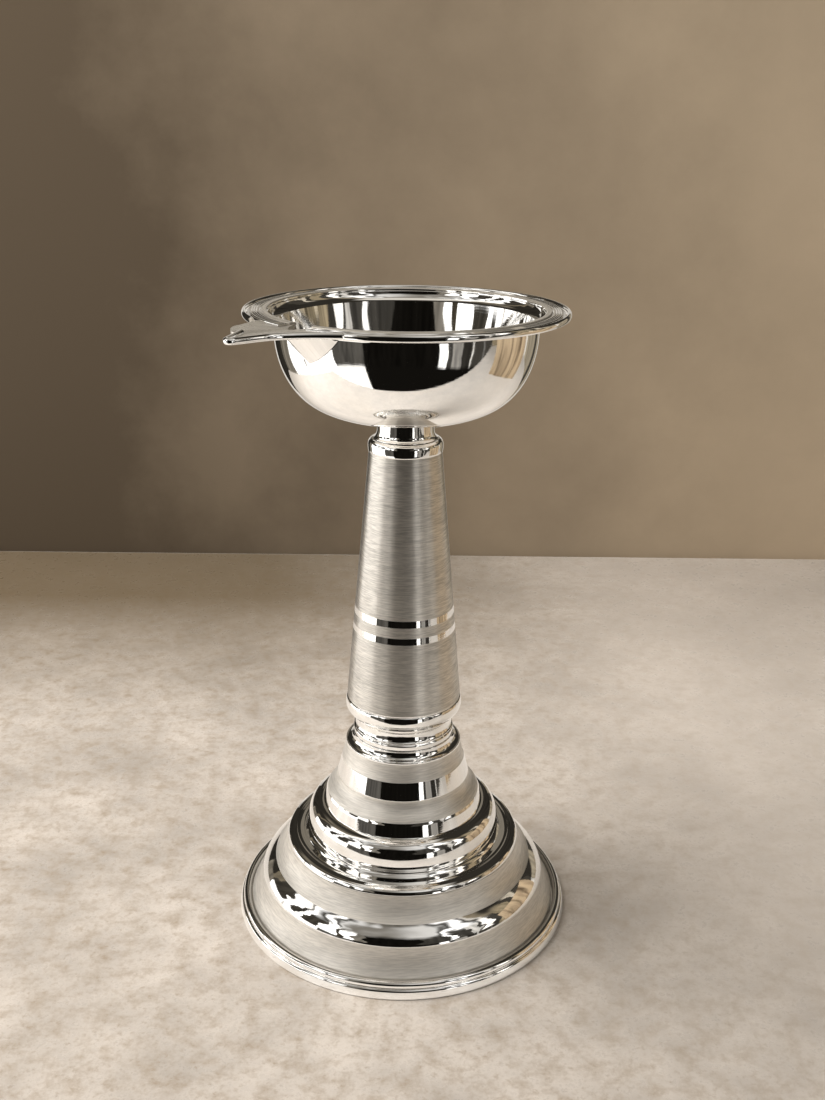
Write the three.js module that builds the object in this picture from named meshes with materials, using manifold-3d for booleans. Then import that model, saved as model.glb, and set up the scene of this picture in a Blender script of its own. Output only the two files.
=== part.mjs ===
// A standing oil lamp of polished and satin-turned metal that screws apart in three.
// Millimetres, +Z up. The origin is the centre of the flat underside of the foot.
// The photographed side faces -Y, and the wick spout points towards -X and -Y.
import * as THREE from "three";
import { mergeVertices } from "three/addons/utils/BufferGeometryUtils.js";
import Module from "manifold-3d";

const wasm = await Module();
wasm.setup();

// Facets of the round forms
const RING_FACETS = 36;
const SMALL_FACETS = 30;
const STUD_FACETS = 24;
const CURVE_STEPS = 4;
const BELLY_STEPS = 6;
const WIRE_STEPS = 4;

// Walls, gaps and threads
const SHEET = 1.0;
const BOWL_SHEET = 0.7;
const SEAM_GAP = 0.3;
const SCREW_GAP = 0.1;
const THREAD_CLEARANCE = 0.3;

// Foot ring: a folded rim with a half-round wire on top
const RIM_HEIGHT = 1.9;
const RIM_FLARE = 0.85;
const RIM_FOLD = 2.0;
const RIM_EASE = 0.3;
const RIM_BEND_FLARE = 0.28;
const RIM_BEND_DROP = 0.6;
const WIRE_RADIUS = 1.15;
const WIRE_SETBACK = 0.2;
const WIRE_SEAT_ANGLE = 30;
const SKIRT_HEIGHT = 2.2;

// Lower bell of the base, from the foot up: satin, mirror band, satin
const LOW_SATIN_HEIGHT = 7.7;
const LOW_SATIN_FLARE = 3.55;
const LOW_BAND_HEIGHT = 4.45;
const LOW_BAND_FLARE = 3.85;
const MID_SATIN_HEIGHT = 6.35;
const MID_SATIN_FLARE = 3.75;
const LOW_SATIN_BEND_FLARE = 0.89;
const LOW_SATIN_BEND_RISE = 2.57;
const LOW_BAND_BEND_FLARE = 0.77;
const LOW_BAND_BEND_RISE = 2.22;
const MID_SATIN_BEND_FLARE = 0.75;
const MID_SATIN_BEND_RISE = 2.12;

// Stepped ledge between the two bells
const LEDGE_EDGE = 0.4;
const LEDGE_RISE = 2.65;
const LEDGE_WIDTH = 6.25;
const LEDGE_STEPS = 5;

// Polished dome that carries the upper bell
const DOME_HEIGHT = 8.6;
const DOME_FLARE = 4.7;
const DOME_TUCK = 0.25;
const DOME_SIDE_HEIGHT = 1.72;

// Upper bell: mirror band, satin, mirror band, satin
const HIGH_BAND_HEIGHT = 3.95;
const HIGH_BAND_FLARE = 1.0;
const HIGH_SATIN_HEIGHT = 5.35;
const HIGH_SATIN_FLARE = 3.3;
const TOP_BAND_HEIGHT = 5.0;
const TOP_BAND_FLARE = 1.3;
const TOP_SATIN_HEIGHT = 5.1;
const TOP_SATIN_FLARE = 1.2;
const HIGH_BAND_EDGE = 0.8;
const HIGH_BAND_EASE = 0.2;
const SHOULDER_BEND_FLARE = 0.33;
const SHOULDER_BEND_RISE = 0.54;
const SHOULDER_FLARE = 1.65;
const SHOULDER_RISE = 1.78;
const TOP_SATIN_BEND_FLARE = 0.24;
const TOP_SATIN_BEND_DROP = 2.55;

// Collar that the stem screws down on, and its threaded bush
const COLLAR_HEIGHT = 3.05;
const COLLAR_FLARE = 2.15;
const COLLAR_TOP_RADIUS = 14.5;
const COLLAR_LIP = 0.5;
const COLLAR_WEB = 2.0;
const COLLAR_WALL = 2.0;
const BUSH_WALL = 2.0;
const BUSH_LENGTH = 8.0;
const BUSH_FLANGE = 3.5;
const BUSH_FLANGE_THICKNESS = 1.0;

// Stem foot: a turned spool with a bead above a reel
const SPOOL_RADIUS = 14.45;
const SPOOL_RING = 1.4;
const SPOOL_GROOVE = 0.4;
const SPOOL_REEL_HEIGHT = 3.6;
const SPOOL_WAIST = 0.9;
const SPOOL_BEAD_HEIGHT = 6.3;
const SPOOL_BEAD_SWELL = 0.4;
const SPOOL_NECKING = 0.4;
const SPOOL_NECKING_DEPTH = 0.2;
const SPOOL_REEL_BEND = 1.2;
const SPOOL_BEAD_BELLY = 2.1;
const SPOOL_BEAD_BEND = 1.6;
const SPIGOT_HEIGHT = 4.5;

// Tapered stem tube
const TUBE_HEIGHT = 72.1;
const TUBE_FOOT_RADIUS = 16.24;
const TUBE_HEAD_RADIUS = 9.96;
const TUBE_SHEET = 1.2;

// Stem cap: a bead that closes the tube
const CAP_HEIGHT = 3.55;
const CAP_SWELL = 0.22;
const CAP_TOP_RADIUS = 9.66;
const CAP_SPIGOT = 7.0;
const CAP_ROUNDING = 1.18;

// Studs that join base, stem and bowl
const STEM_STUD_RADIUS = 4.0;
const STEM_STUD_IN_STEM = 7.8;
const BOWL_STUD_RADIUS = 3.0;
const BOWL_STUD_IN_STEM = 6.2;
const STUD_END_EASE = 0.6;

// Bowl neck
const NECK_HEIGHT = 5.75;
const NECK_FOOT_RADIUS = 9.6;
const NECK_FOOT_EDGE = 0.45;
const NECK_WAIST_RADIUS = 7.7;
const NECK_HEAD_RADIUS = 8.1;
const NECK_ROOF = 0.6;
const NECK_WAIST_HEIGHT = 2.9;
const NECK_BEND_RISE = 0.57;

// Oil bowl: outside radius of its wall, and the shallow floor that turns up into it
const BOWL_RADIUS = 34.5;
const BOWL_WALL_HEIGHT = 21.7;
const BOWL_FLOOR_RADIUS = 24.7;
const BOWL_FLOOR_RISE = 3.7;
const BOWL_FLOOR_BEND = 0.92;
const BELLY_OUT = 0.61;
const BELLY_UP = 0.16;
const BELLY_BULGE = 0.4;
const BELLY_SHOULDER = 0.51;

// Rim: a collar with a cove, a flange, a grooved ring on it and a wire round its edge
const COVE_HEIGHT = 2.6;
const COVE_WIDTH = 1.3;
const FLANGE_SHEET = 0.8;
const FLANGE_WIDTH = 6.5;
const COVE_LAND = 0.2;
const COVE_BEND = 0.35;
const COVE_BACK_RISE = 0.45;
const RING_INSET = 0.15;
const RING_INNER_WIDTH = 1.7;
const RING_OUTER_WIDTH = 2.8;
const RING_INNER_HEIGHT = 0.72;
const RING_OUTER_HEIGHT = 0.5;
const RING_EASE = 0.25;
const LIP_WIDTH = 1.2;
const LIP_HEIGHT = 1.8;
const LIP_RISE = 0.8;

// Spout: a fish-tailed plate with one long lobe and one short lobe, and a folded gutter below it.
// Reach is the distance from the lamp's axis along the spout, side is across it.
const SPOUT_AZIMUTH = -132;
const SPOUT_HALF_ANGLE = 21.5;
const PLATE_SHEET = 0.8;
const EDGE_ROLL = 0.7;
const EDGE_ROLL_DROP = 0.35;
const LONG_LOBE_REACH = 61.2;
const LONG_LOBE_SIDE = 1.2;
const LONG_LOBE_HALF_WIDTH = 1.3;
const LONG_WAIST_REACH = 51.5;
const LONG_WAIST_SIDE = 3.7;
const NOTCH_REACH = 51.8;
const NOTCH_SIDE = -4.6;
const SHORT_LOBE_REACH = 52.3;
const SHORT_LOBE_SIDE = -7.7;
const SHORT_LOBE_SWELL = 0.6;
const SHORT_WAIST_REACH = 45.5;
const SHORT_WAIST_SIDE = -12.8;
const GUTTER_LIFT = 1.0;
const GUTTER_DEPTH = 9.15;
const GUTTER_SLOPE = 45;
const GUTTER_HALF_WIDTH = 10.2;
const GUTTER_SIDE_HEIGHT = 7.0;
const GUTTER_BELLY_WIDTH = 6.5;
const GUTTER_BELLY_HEIGHT = 1.6;
const SLOT_HALF_WIDTH_INNER = 3.2;
const SLOT_HALF_WIDTH_OUTER = 4.9;
const VALLEY_DEPTH = 0.45;
const VALLEY_HALF_WIDTH = 2.6;

// Levels, each a height above the table
const rimTop = RIM_HEIGHT;
const skirtTop = rimTop + SKIRT_HEIGHT;
const lowSatinTop = skirtTop + LOW_SATIN_HEIGHT;
const lowBandTop = lowSatinTop + LOW_BAND_HEIGHT;
const lowBellTop = lowBandTop + MID_SATIN_HEIGHT;
const ledgeTop = lowBellTop + LEDGE_EDGE + LEDGE_RISE;
const domeTop = ledgeTop + DOME_HEIGHT;
const highBandTop = domeTop + HIGH_BAND_HEIGHT;
const highSatinTop = highBandTop + HIGH_SATIN_HEIGHT;
const topBandTop = highSatinTop + TOP_BAND_HEIGHT;
const highBellTop = topBandTop + TOP_SATIN_HEIGHT;
const collarTop = highBellTop + COLLAR_HEIGHT;
const spoolFoot = collarTop + SCREW_GAP;
const reelFoot = spoolFoot + SPOOL_RING;
const beadFoot = reelFoot + SPOOL_REEL_HEIGHT;
const beadTop = beadFoot + SPOOL_BEAD_HEIGHT;
const tubeFoot = beadTop + SPOOL_NECKING;
const tubeTop = tubeFoot + TUBE_HEIGHT;
const capTop = tubeTop + CAP_HEIGHT;
const neckFoot = capTop + SCREW_GAP;
const bowlFoot = neckFoot + NECK_HEIGHT;
const wallTop = bowlFoot + BOWL_FLOOR_RISE + BOWL_WALL_HEIGHT;
const flangeTop = wallTop + COVE_HEIGHT;
const flangeUnder = flangeTop - FLANGE_SHEET;
const plateUnder = flangeTop - PLATE_SHEET;

// Radii, each step outwards from the collar
const collarRadius = COLLAR_TOP_RADIUS + COLLAR_FLARE;
const topSatinRadius = collarRadius + TOP_SATIN_FLARE;
const topBandRadius = topSatinRadius + TOP_BAND_FLARE;
const highSatinRadius = topBandRadius + HIGH_SATIN_FLARE;
const highBandRadius = highSatinRadius + HIGH_BAND_FLARE;
const domeRadius = highBandRadius + DOME_FLARE;
const ledgeRadius = domeRadius + LEDGE_WIDTH;
const midSatinRadius = ledgeRadius + MID_SATIN_FLARE;
const lowBandRadius = midSatinRadius + LOW_BAND_FLARE;
const skirtRadius = lowBandRadius + LOW_SATIN_FLARE;
const wireCentre = skirtRadius + SEAM_GAP + WIRE_RADIUS;
const rimRadius = wireCentre + WIRE_RADIUS + WIRE_SETBACK;
const footRadius = rimRadius + RIM_FLARE;
const bushHole = STEM_STUD_RADIUS + THREAD_CLEARANCE;
const bushRadius = bushHole + BUSH_WALL;
const capHole = BOWL_STUD_RADIUS + THREAD_CLEARANCE;
const coveRadius = BOWL_RADIUS + COVE_WIDTH;
const flangeRadius = BOWL_RADIUS + FLANGE_WIDTH;
const lipInside = flangeRadius + SEAM_GAP;
const coveBack = coveRadius + BOWL_SHEET;
const seatRadius = coveRadius + COVE_LAND;
const plateInside = seatRadius + SEAM_GAP;

// How far the stem tube draws in for each millimetre of height
const tubeTaper = (TUBE_FOOT_RADIUS - TUBE_HEAD_RADIUS) / TUBE_HEIGHT;

// The spout's angles in radians
const keelSlope = THREE.MathUtils.degToRad(GUTTER_SLOPE);
const spoutTurn = THREE.MathUtils.degToRad(SPOUT_AZIMUTH);
const spoutHalfAngle = THREE.MathUtils.degToRad(SPOUT_HALF_ANGLE);
const wireSeatAngle = THREE.MathUtils.degToRad(WIRE_SEAT_ANGLE);

const polished = { color: 0xd9d5cf, roughness: 0.06, metalness: 1 };
const satin = { color: 0xc4bfb8, roughness: 0.38, metalness: 1 };
const steel = { color: 0xa9a7a3, roughness: 0.3, metalness: 1 };

const group = new THREE.Group();

function add(name, geometry, finish) {
  const mesh = new THREE.Mesh(geometry, new THREE.MeshStandardMaterial(finish));
  mesh.name = name;
  group.add(mesh);
}

// A drawn outline as points; round stretches get a set number of steps.
function outline(path, steps = CURVE_STEPS) {
  return path.getPoints(steps);
}

// Twice the area inside a closed outline, positive when it runs counter-clockwise.
function doubleArea(points) {
  return points.reduce((sum, p, i) => {
    const q = points[(i + 1) % points.length];
    return sum + p.x * q.y - q.x * p.y;
  }, 0);
}

// A solid of revolution about Z. The outline holds radius and height, and closes on itself.
function turned(points, facets = RING_FACETS) {
  const section = doubleArea(points) > 0 ? [...points] : [...points].reverse();
  const closed = [...section, section[0].clone()];
  return new THREE.LatheGeometry(closed, facets).rotateX(Math.PI / 2);
}

// The section of a wall: an outside line, and the same line moved inwards by the sheet.
// The hidden inside keeps every other point. The two ends are cut along the directions
// given, so that they meet their neighbours flat.
function wallSection(outside, sheet, startCut, endCut) {
  const inside = outside.map((p, i) => {
    const before = outside[Math.max(i - 1, 0)];
    const after = outside[Math.min(i + 1, outside.length - 1)];
    const along = new THREE.Vector2().subVectors(after, before).normalize();
    return new THREE.Vector2(p.x - along.y * sheet, p.y + along.x * sheet);
  });
  inside[0] = outside[0].clone().addScaledVector(startCut, sheet);
  inside[inside.length - 1] = outside.at(-1).clone().addScaledVector(endCut, sheet);
  const kept = inside.filter((p, i) => i % 2 === 0 || i === inside.length - 1);
  return [...outside, ...kept.reverse()];
}

const INWARDS = new THREE.Vector2(-1, 0);
const DOWNWARDS = new THREE.Vector2(0, -1);

// A geometry as a solid that can be joined and cut.
function solid(geometry) {
  const plain = geometry.index ? geometry.toNonIndexed() : geometry.clone();
  plain.deleteAttribute("normal");
  plain.deleteAttribute("uv");
  const merged = mergeVertices(plain, 1e-4);
  return new wasm.Manifold(
    new wasm.Mesh({
      numProp: 3,
      vertProperties: merged.attributes.position.array,
      triVerts: new Uint32Array(merged.index.array),
    }),
  );
}

// A joined or cut solid as a geometry again.
function geometryOf(body) {
  const mesh = body.getMesh();
  const geometry = new THREE.BufferGeometry();
  geometry.setAttribute("position", new THREE.BufferAttribute(mesh.vertProperties, 3));
  geometry.setIndex(new THREE.BufferAttribute(mesh.triVerts, 1));
  const flat = geometry.toNonIndexed();
  flat.computeVertexNormals();
  return flat;
}

// A plan outline, in reach and side, raised between two heights and turned to the spout's azimuth.
function slab(shape, low, high) {
  const geometry = new THREE.ExtrudeGeometry(shape, {
    depth: high - low,
    bevelEnabled: false,
    curveSegments: CURVE_STEPS,
  });
  return geometry.translate(0, 0, low).rotateZ(spoutTurn);
}

// A section across the gutter, drawn as side and height over the keel, run along the keel.
// It starts on the bowl's side of the wall and ends beyond the plate.
function alongKeel(shape) {
  const run = (2 * GUTTER_DEPTH) / Math.sin(keelSlope);
  const geometry = new THREE.ExtrudeGeometry(shape, {
    depth: run,
    bevelEnabled: false,
    curveSegments: CURVE_STEPS,
  });
  const across = new THREE.Vector3(0, 1, 0);
  const up = new THREE.Vector3(-Math.sin(keelSlope), 0, Math.cos(keelSlope));
  const along = new THREE.Vector3(Math.cos(keelSlope), 0, Math.sin(keelSlope));
  const place = new THREE.Matrix4().makeBasis(across, up, along);
  const start = new THREE.Vector3(BOWL_RADIUS, 0, flangeTop - GUTTER_DEPTH);
  start.addScaledVector(along, -run / 4);
  return geometry.applyMatrix4(place).translate(start.x, start.y, start.z).rotateZ(spoutTurn);
}

// The gutter's section: a keel with hollow-rolled sides that steepen, drawn on beyond the plate.
function gutterSection(lift) {
  const shape = new THREE.Shape();
  const over = 2 * GUTTER_DEPTH;
  const flare = (GUTTER_HALF_WIDTH - GUTTER_BELLY_WIDTH) / (GUTTER_SIDE_HEIGHT - GUTTER_BELLY_HEIGHT);
  const overWidth = GUTTER_HALF_WIDTH + flare * (over - GUTTER_SIDE_HEIGHT);
  shape.moveTo(0, lift);
  shape.quadraticCurveTo(
    GUTTER_BELLY_WIDTH, lift + GUTTER_BELLY_HEIGHT, GUTTER_HALF_WIDTH, lift + GUTTER_SIDE_HEIGHT,
  );
  shape.lineTo(overWidth, lift + over);
  shape.lineTo(-overWidth, lift + over);
  shape.lineTo(-GUTTER_HALF_WIDTH, lift + GUTTER_SIDE_HEIGHT);
  shape.quadraticCurveTo(-GUTTER_BELLY_WIDTH, lift + GUTTER_BELLY_HEIGHT, 0, lift);
  return shape;
}

// The free space inside the gutter, which also opens the bowl's wall, the rim and the plate.
const channel = solid(alongKeel(gutterSection(GUTTER_LIFT)));

function footRim() {
  const inside = skirtRadius - SHEET;
  const wallInside = footRadius - RIM_FOLD;
  const foldUnder = rimTop - SHEET;
  return turned([
    new THREE.Vector2(wallInside, 0),
    new THREE.Vector2(footRadius - RIM_EASE, 0),
    new THREE.Vector2(footRadius, RIM_EASE),
    new THREE.Vector2(rimRadius + RIM_BEND_FLARE, rimTop - RIM_BEND_DROP),
    new THREE.Vector2(rimRadius, rimTop),
    new THREE.Vector2(inside, rimTop),
    new THREE.Vector2(inside, foldUnder),
    new THREE.Vector2(wallInside, foldUnder),
  ]);
}

function footWire() {
  const path = new THREE.Path();
  const centre = rimTop + WIRE_RADIUS * Math.sin(wireSeatAngle);
  path.absarc(wireCentre, centre, WIRE_RADIUS, -wireSeatAngle, Math.PI + wireSeatAngle);
  return turned(outline(path, WIRE_STEPS));
}

function lowerBell() {
  const path = new THREE.Path();
  path.moveTo(skirtRadius, rimTop);
  path.lineTo(skirtRadius, skirtTop);
  path.quadraticCurveTo(
    lowBandRadius + LOW_SATIN_BEND_FLARE, skirtTop + LOW_SATIN_BEND_RISE, lowBandRadius, lowSatinTop,
  );
  path.quadraticCurveTo(
    lowBandRadius - LOW_BAND_BEND_FLARE, lowSatinTop + LOW_BAND_BEND_RISE, midSatinRadius, lowBandTop,
  );
  path.quadraticCurveTo(
    ledgeRadius + MID_SATIN_BEND_FLARE, lowBandTop + MID_SATIN_BEND_RISE, ledgeRadius, lowBellTop,
  );
  return turned(wallSection(outline(path), SHEET, INWARDS, INWARDS));
}

function steppedLedge() {
  const points = [new THREE.Vector2(ledgeRadius - SHEET, lowBellTop)];
  const tread = LEDGE_WIDTH / LEDGE_STEPS;
  const riser = LEDGE_RISE / LEDGE_STEPS;
  for (let i = 0; i < LEDGE_STEPS; i++) {
    const radius = ledgeRadius - i * tread;
    const height = lowBellTop + LEDGE_EDGE + i * riser;
    points.push(new THREE.Vector2(radius, i === 0 ? lowBellTop : height));
    points.push(new THREE.Vector2(radius, height + riser));
  }
  points.push(new THREE.Vector2(domeRadius - SHEET, ledgeTop));
  points.push(new THREE.Vector2(domeRadius - SHEET, ledgeTop - SHEET));
  points.push(new THREE.Vector2(domeRadius, ledgeTop - SHEET));
  return turned(points);
}

function dome() {
  const path = new THREE.Path();
  path.moveTo(domeRadius - DOME_TUCK, ledgeTop);
  path.lineTo(domeRadius, ledgeTop + DOME_SIDE_HEIGHT);
  path.quadraticCurveTo(domeRadius, domeTop, highBandRadius, domeTop);
  path.lineTo(highBandRadius - SHEET, domeTop);
  return turned(wallSection(outline(path, CURVE_STEPS + 1), SHEET, INWARDS, DOWNWARDS));
}

function upperBell() {
  const path = new THREE.Path();
  path.moveTo(highBandRadius, domeTop);
  path.lineTo(highSatinRadius + HIGH_BAND_EASE, highBandTop - HIGH_BAND_EDGE);
  path.quadraticCurveTo(
    highSatinRadius - SHOULDER_BEND_FLARE, highBandTop + SHOULDER_BEND_RISE,
    highSatinRadius - SHOULDER_FLARE, highBandTop + SHOULDER_RISE,
  );
  path.quadraticCurveTo(
    topBandRadius, highSatinTop - SHOULDER_RISE, topBandRadius, highSatinTop,
  );
  path.lineTo(topSatinRadius, topBandTop);
  path.quadraticCurveTo(
    collarRadius + TOP_SATIN_BEND_FLARE, highBellTop - TOP_SATIN_BEND_DROP, collarRadius, highBellTop,
  );
  return turned(wallSection(outline(path), SHEET, INWARDS, INWARDS));
}

function collar() {
  const path = new THREE.Path();
  const hole = bushRadius + SEAM_GAP;
  const webUnder = collarTop - COLLAR_WEB;
  const skirtInside = collarRadius - COLLAR_WALL;
  path.moveTo(skirtInside, highBellTop);
  path.lineTo(collarRadius, highBellTop);
  path.lineTo(collarRadius, highBellTop + COLLAR_LIP);
  path.quadraticCurveTo(COLLAR_TOP_RADIUS, highBellTop + COLLAR_LIP, COLLAR_TOP_RADIUS, collarTop);
  path.lineTo(hole, collarTop);
  path.lineTo(hole, webUnder);
  path.lineTo(skirtInside - SHEET, webUnder);
  return turned(outline(path), SMALL_FACETS);
}

function baseBush() {
  const top = collarTop - SCREW_GAP;
  const flangeTopHere = collarTop - COLLAR_WEB;
  const flangeFoot = flangeTopHere - BUSH_FLANGE_THICKNESS;
  return turned(
    [
      new THREE.Vector2(bushHole, top - BUSH_LENGTH),
      new THREE.Vector2(bushRadius, top - BUSH_LENGTH),
      new THREE.Vector2(bushRadius, flangeFoot),
      new THREE.Vector2(bushRadius + BUSH_FLANGE, flangeFoot),
      new THREE.Vector2(bushRadius + BUSH_FLANGE, flangeTopHere),
      new THREE.Vector2(bushRadius, flangeTopHere),
      new THREE.Vector2(bushRadius, top),
      new THREE.Vector2(bushHole, top),
    ],
    STUD_FACETS,
  );
}

// A plain stud with eased ends, between two heights.
function stud(radius, low, high) {
  return turned(
    [
      new THREE.Vector2(0, low),
      new THREE.Vector2(radius - STUD_END_EASE, low),
      new THREE.Vector2(radius, low + STUD_END_EASE),
      new THREE.Vector2(radius, high - STUD_END_EASE),
      new THREE.Vector2(radius - STUD_END_EASE, high),
      new THREE.Vector2(0, high),
    ],
    STUD_FACETS,
  );
}

function stemStud() {
  const top = spoolFoot + STEM_STUD_IN_STEM;
  return stud(STEM_STUD_RADIUS, collarTop - SCREW_GAP - BUSH_LENGTH + STUD_END_EASE, top);
}

function bowlStud() {
  const low = capTop - BOWL_STUD_IN_STEM;
  return stud(BOWL_STUD_RADIUS, low, bowlFoot - NECK_ROOF - SCREW_GAP);
}

function stemSpool() {
  const path = new THREE.Path();
  const waist = SPOOL_RADIUS - SPOOL_WAIST;
  const beadRadius = TUBE_FOOT_RADIUS + SPOOL_BEAD_SWELL;
  const beadMiddle = beadTop - SPOOL_BEAD_BELLY;
  const spigot = TUBE_FOOT_RADIUS - TUBE_SHEET - SEAM_GAP - tubeTaper * SPIGOT_HEIGHT;
  path.moveTo(bushHole, spoolFoot);
  path.lineTo(SPOOL_RADIUS, spoolFoot);
  path.lineTo(SPOOL_RADIUS, reelFoot);
  path.lineTo(SPOOL_RADIUS - SPOOL_GROOVE, reelFoot + SPOOL_GROOVE);
  path.lineTo(SPOOL_RADIUS - SPOOL_NECKING_DEPTH, reelFoot + SPOOL_GROOVE + SPOOL_NECKING);
  path.quadraticCurveTo(waist, reelFoot + SPOOL_REEL_BEND, waist, beadFoot - SPOOL_GROOVE);
  path.quadraticCurveTo(waist, beadFoot, waist + SPOOL_GROOVE, beadFoot + SPOOL_GROOVE);
  path.quadraticCurveTo(beadRadius, beadMiddle - SPOOL_BEAD_BEND, beadRadius, beadMiddle);
  path.quadraticCurveTo(beadRadius, beadTop, TUBE_FOOT_RADIUS - SPOOL_NECKING_DEPTH, beadTop);
  path.lineTo(TUBE_FOOT_RADIUS - SPOOL_NECKING_DEPTH, tubeFoot);
  path.lineTo(spigot, tubeFoot);
  path.lineTo(spigot, tubeFoot + SPIGOT_HEIGHT);
  path.lineTo(bushHole, tubeFoot + SPIGOT_HEIGHT);
  return turned(outline(path, CURVE_STEPS - 1), SMALL_FACETS);
}

function stemTube() {
  return turned([
    new THREE.Vector2(TUBE_FOOT_RADIUS, tubeFoot),
    new THREE.Vector2(TUBE_HEAD_RADIUS, tubeTop),
    new THREE.Vector2(TUBE_HEAD_RADIUS - TUBE_SHEET, tubeTop),
    new THREE.Vector2(TUBE_FOOT_RADIUS - TUBE_SHEET, tubeFoot),
  ], SMALL_FACETS);
}

function stemCap() {
  const path = new THREE.Path();
  const spigot = TUBE_HEAD_RADIUS - TUBE_SHEET - SEAM_GAP;
  const swell = TUBE_HEAD_RADIUS + CAP_SWELL;
  path.moveTo(capHole, tubeTop - CAP_SPIGOT);
  path.lineTo(spigot, tubeTop - CAP_SPIGOT);
  path.lineTo(spigot, tubeTop);
  path.lineTo(TUBE_HEAD_RADIUS, tubeTop);
  path.lineTo(swell, tubeTop + CAP_SWELL);
  path.lineTo(swell, capTop - CAP_ROUNDING);
  path.quadraticCurveTo(swell, capTop, CAP_TOP_RADIUS - CAP_SWELL, capTop);
  path.lineTo(capHole, capTop);
  return turned(outline(path, CURVE_STEPS - 1), SMALL_FACETS);
}

function bowlNeck() {
  const path = new THREE.Path();
  const roof = bowlFoot - NECK_ROOF;
  const waistHeight = neckFoot + NECK_WAIST_HEIGHT;
  path.moveTo(capHole, neckFoot);
  path.lineTo(NECK_FOOT_RADIUS, neckFoot);
  path.lineTo(NECK_FOOT_RADIUS, neckFoot + NECK_FOOT_EDGE);
  path.quadraticCurveTo(
    NECK_WAIST_RADIUS, neckFoot + NECK_FOOT_EDGE + NECK_BEND_RISE, NECK_WAIST_RADIUS, waistHeight,
  );
  path.quadraticCurveTo(NECK_WAIST_RADIUS, roof, NECK_HEAD_RADIUS, bowlFoot);
  path.lineTo(0, bowlFoot);
  path.lineTo(0, roof);
  path.lineTo(capHole, roof);
  return turned(outline(path), SMALL_FACETS);
}

// The outside line of the bowl, from its axis to the top of its wall, grown by a margin.
function bowlOutside(margin) {
  const path = new THREE.Path();
  const floorEdge = bowlFoot + BOWL_FLOOR_RISE;
  const run = BOWL_RADIUS - BOWL_FLOOR_RADIUS;
  path.moveTo(0, bowlFoot - margin);
  path.lineTo(NECK_HEAD_RADIUS, bowlFoot - margin);
  path.quadraticCurveTo(
    (NECK_HEAD_RADIUS + BOWL_FLOOR_RADIUS) / 2, bowlFoot - margin + BOWL_FLOOR_BEND,
    BOWL_FLOOR_RADIUS + margin / 2, floorEdge - margin,
  );
  path.bezierCurveTo(
    BOWL_FLOOR_RADIUS + run * BELLY_OUT + margin, floorEdge + BOWL_WALL_HEIGHT * BELLY_UP - margin,
    BOWL_RADIUS + BELLY_BULGE + margin, floorEdge + BOWL_WALL_HEIGHT * BELLY_SHOULDER,
    BOWL_RADIUS + margin, wallTop,
  );
  return outline(path, BELLY_STEPS);
}

function oilBowl() {
  const outside = bowlOutside(0);
  const section = wallSection(outside, BOWL_SHEET, DOWNWARDS.clone().negate(), INWARDS);
  return geometryOf(solid(turned(section)).subtract(channel));
}

// The sector of the rim that the spout takes the place of, outside a given radius.
function spoutSector(halfAngle, innerRadius) {
  const reach = 2 * flangeRadius;
  const wedge = new THREE.Shape();
  wedge.moveTo(0, 0);
  wedge.lineTo(reach * Math.cos(halfAngle), -reach * Math.sin(halfAngle));
  wedge.lineTo(reach * Math.cos(halfAngle), reach * Math.sin(halfAngle));
  wedge.closePath();
  const low = wallTop - LIP_HEIGHT;
  const high = flangeTop + LIP_HEIGHT;
  const core = new THREE.CylinderGeometry(innerRadius, innerRadius, 2 * (high - low), RING_FACETS);
  core.rotateX(Math.PI / 2).translate(0, 0, (low + high) / 2);
  return solid(slab(wedge, low, high)).subtract(solid(core));
}

function rimFlange() {
  const path = new THREE.Path();
  const inside = BOWL_RADIUS - BOWL_SHEET;
  path.moveTo(inside, wallTop);
  path.quadraticCurveTo(coveRadius - COVE_BEND, wallTop + BOWL_SHEET, coveRadius, flangeTop);
  path.lineTo(flangeRadius, flangeTop);
  path.lineTo(flangeRadius, flangeUnder);
  path.lineTo(coveBack, flangeUnder);
  path.quadraticCurveTo(coveBack - COVE_BEND, wallTop + COVE_BACK_RISE, BOWL_RADIUS, wallTop);
  const body = solid(turned(outline(path)));
  return geometryOf(body.subtract(spoutSector(spoutHalfAngle, seatRadius)).subtract(channel));
}

function grooveRing() {
  const inner = coveRadius + RING_INSET;
  const step = inner + RING_INNER_WIDTH;
  const outer = step + RING_OUTER_WIDTH;
  const section = [
    new THREE.Vector2(inner, flangeTop),
    new THREE.Vector2(outer, flangeTop),
    new THREE.Vector2(outer, flangeTop + RING_OUTER_HEIGHT - RING_EASE),
    new THREE.Vector2(outer - RING_EASE, flangeTop + RING_OUTER_HEIGHT),
    new THREE.Vector2(step, flangeTop + RING_OUTER_HEIGHT),
    new THREE.Vector2(step - RING_INSET, flangeTop + RING_INNER_HEIGHT),
    new THREE.Vector2(inner + RING_INSET, flangeTop + RING_INNER_HEIGHT),
    new THREE.Vector2(inner, flangeTop + RING_OUTER_HEIGHT),
  ];
  const gap = new THREE.Shape();
  const widening = (SLOT_HALF_WIDTH_OUTER - SLOT_HALF_WIDTH_INNER) / (outer - inner);
  const reach = 2 * outer;
  const mouth = SLOT_HALF_WIDTH_INNER + widening * (reach - inner);
  const root = SLOT_HALF_WIDTH_INNER - widening * (inner - BOWL_RADIUS);
  gap.moveTo(BOWL_RADIUS, -root);
  gap.lineTo(reach, -mouth);
  gap.lineTo(reach, mouth);
  gap.lineTo(BOWL_RADIUS, root);
  gap.closePath();
  const cutter = solid(slab(gap, flangeTop - RING_INNER_HEIGHT, flangeTop + 2 * RING_INNER_HEIGHT));
  return geometryOf(solid(turned(section)).subtract(cutter));
}

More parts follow.
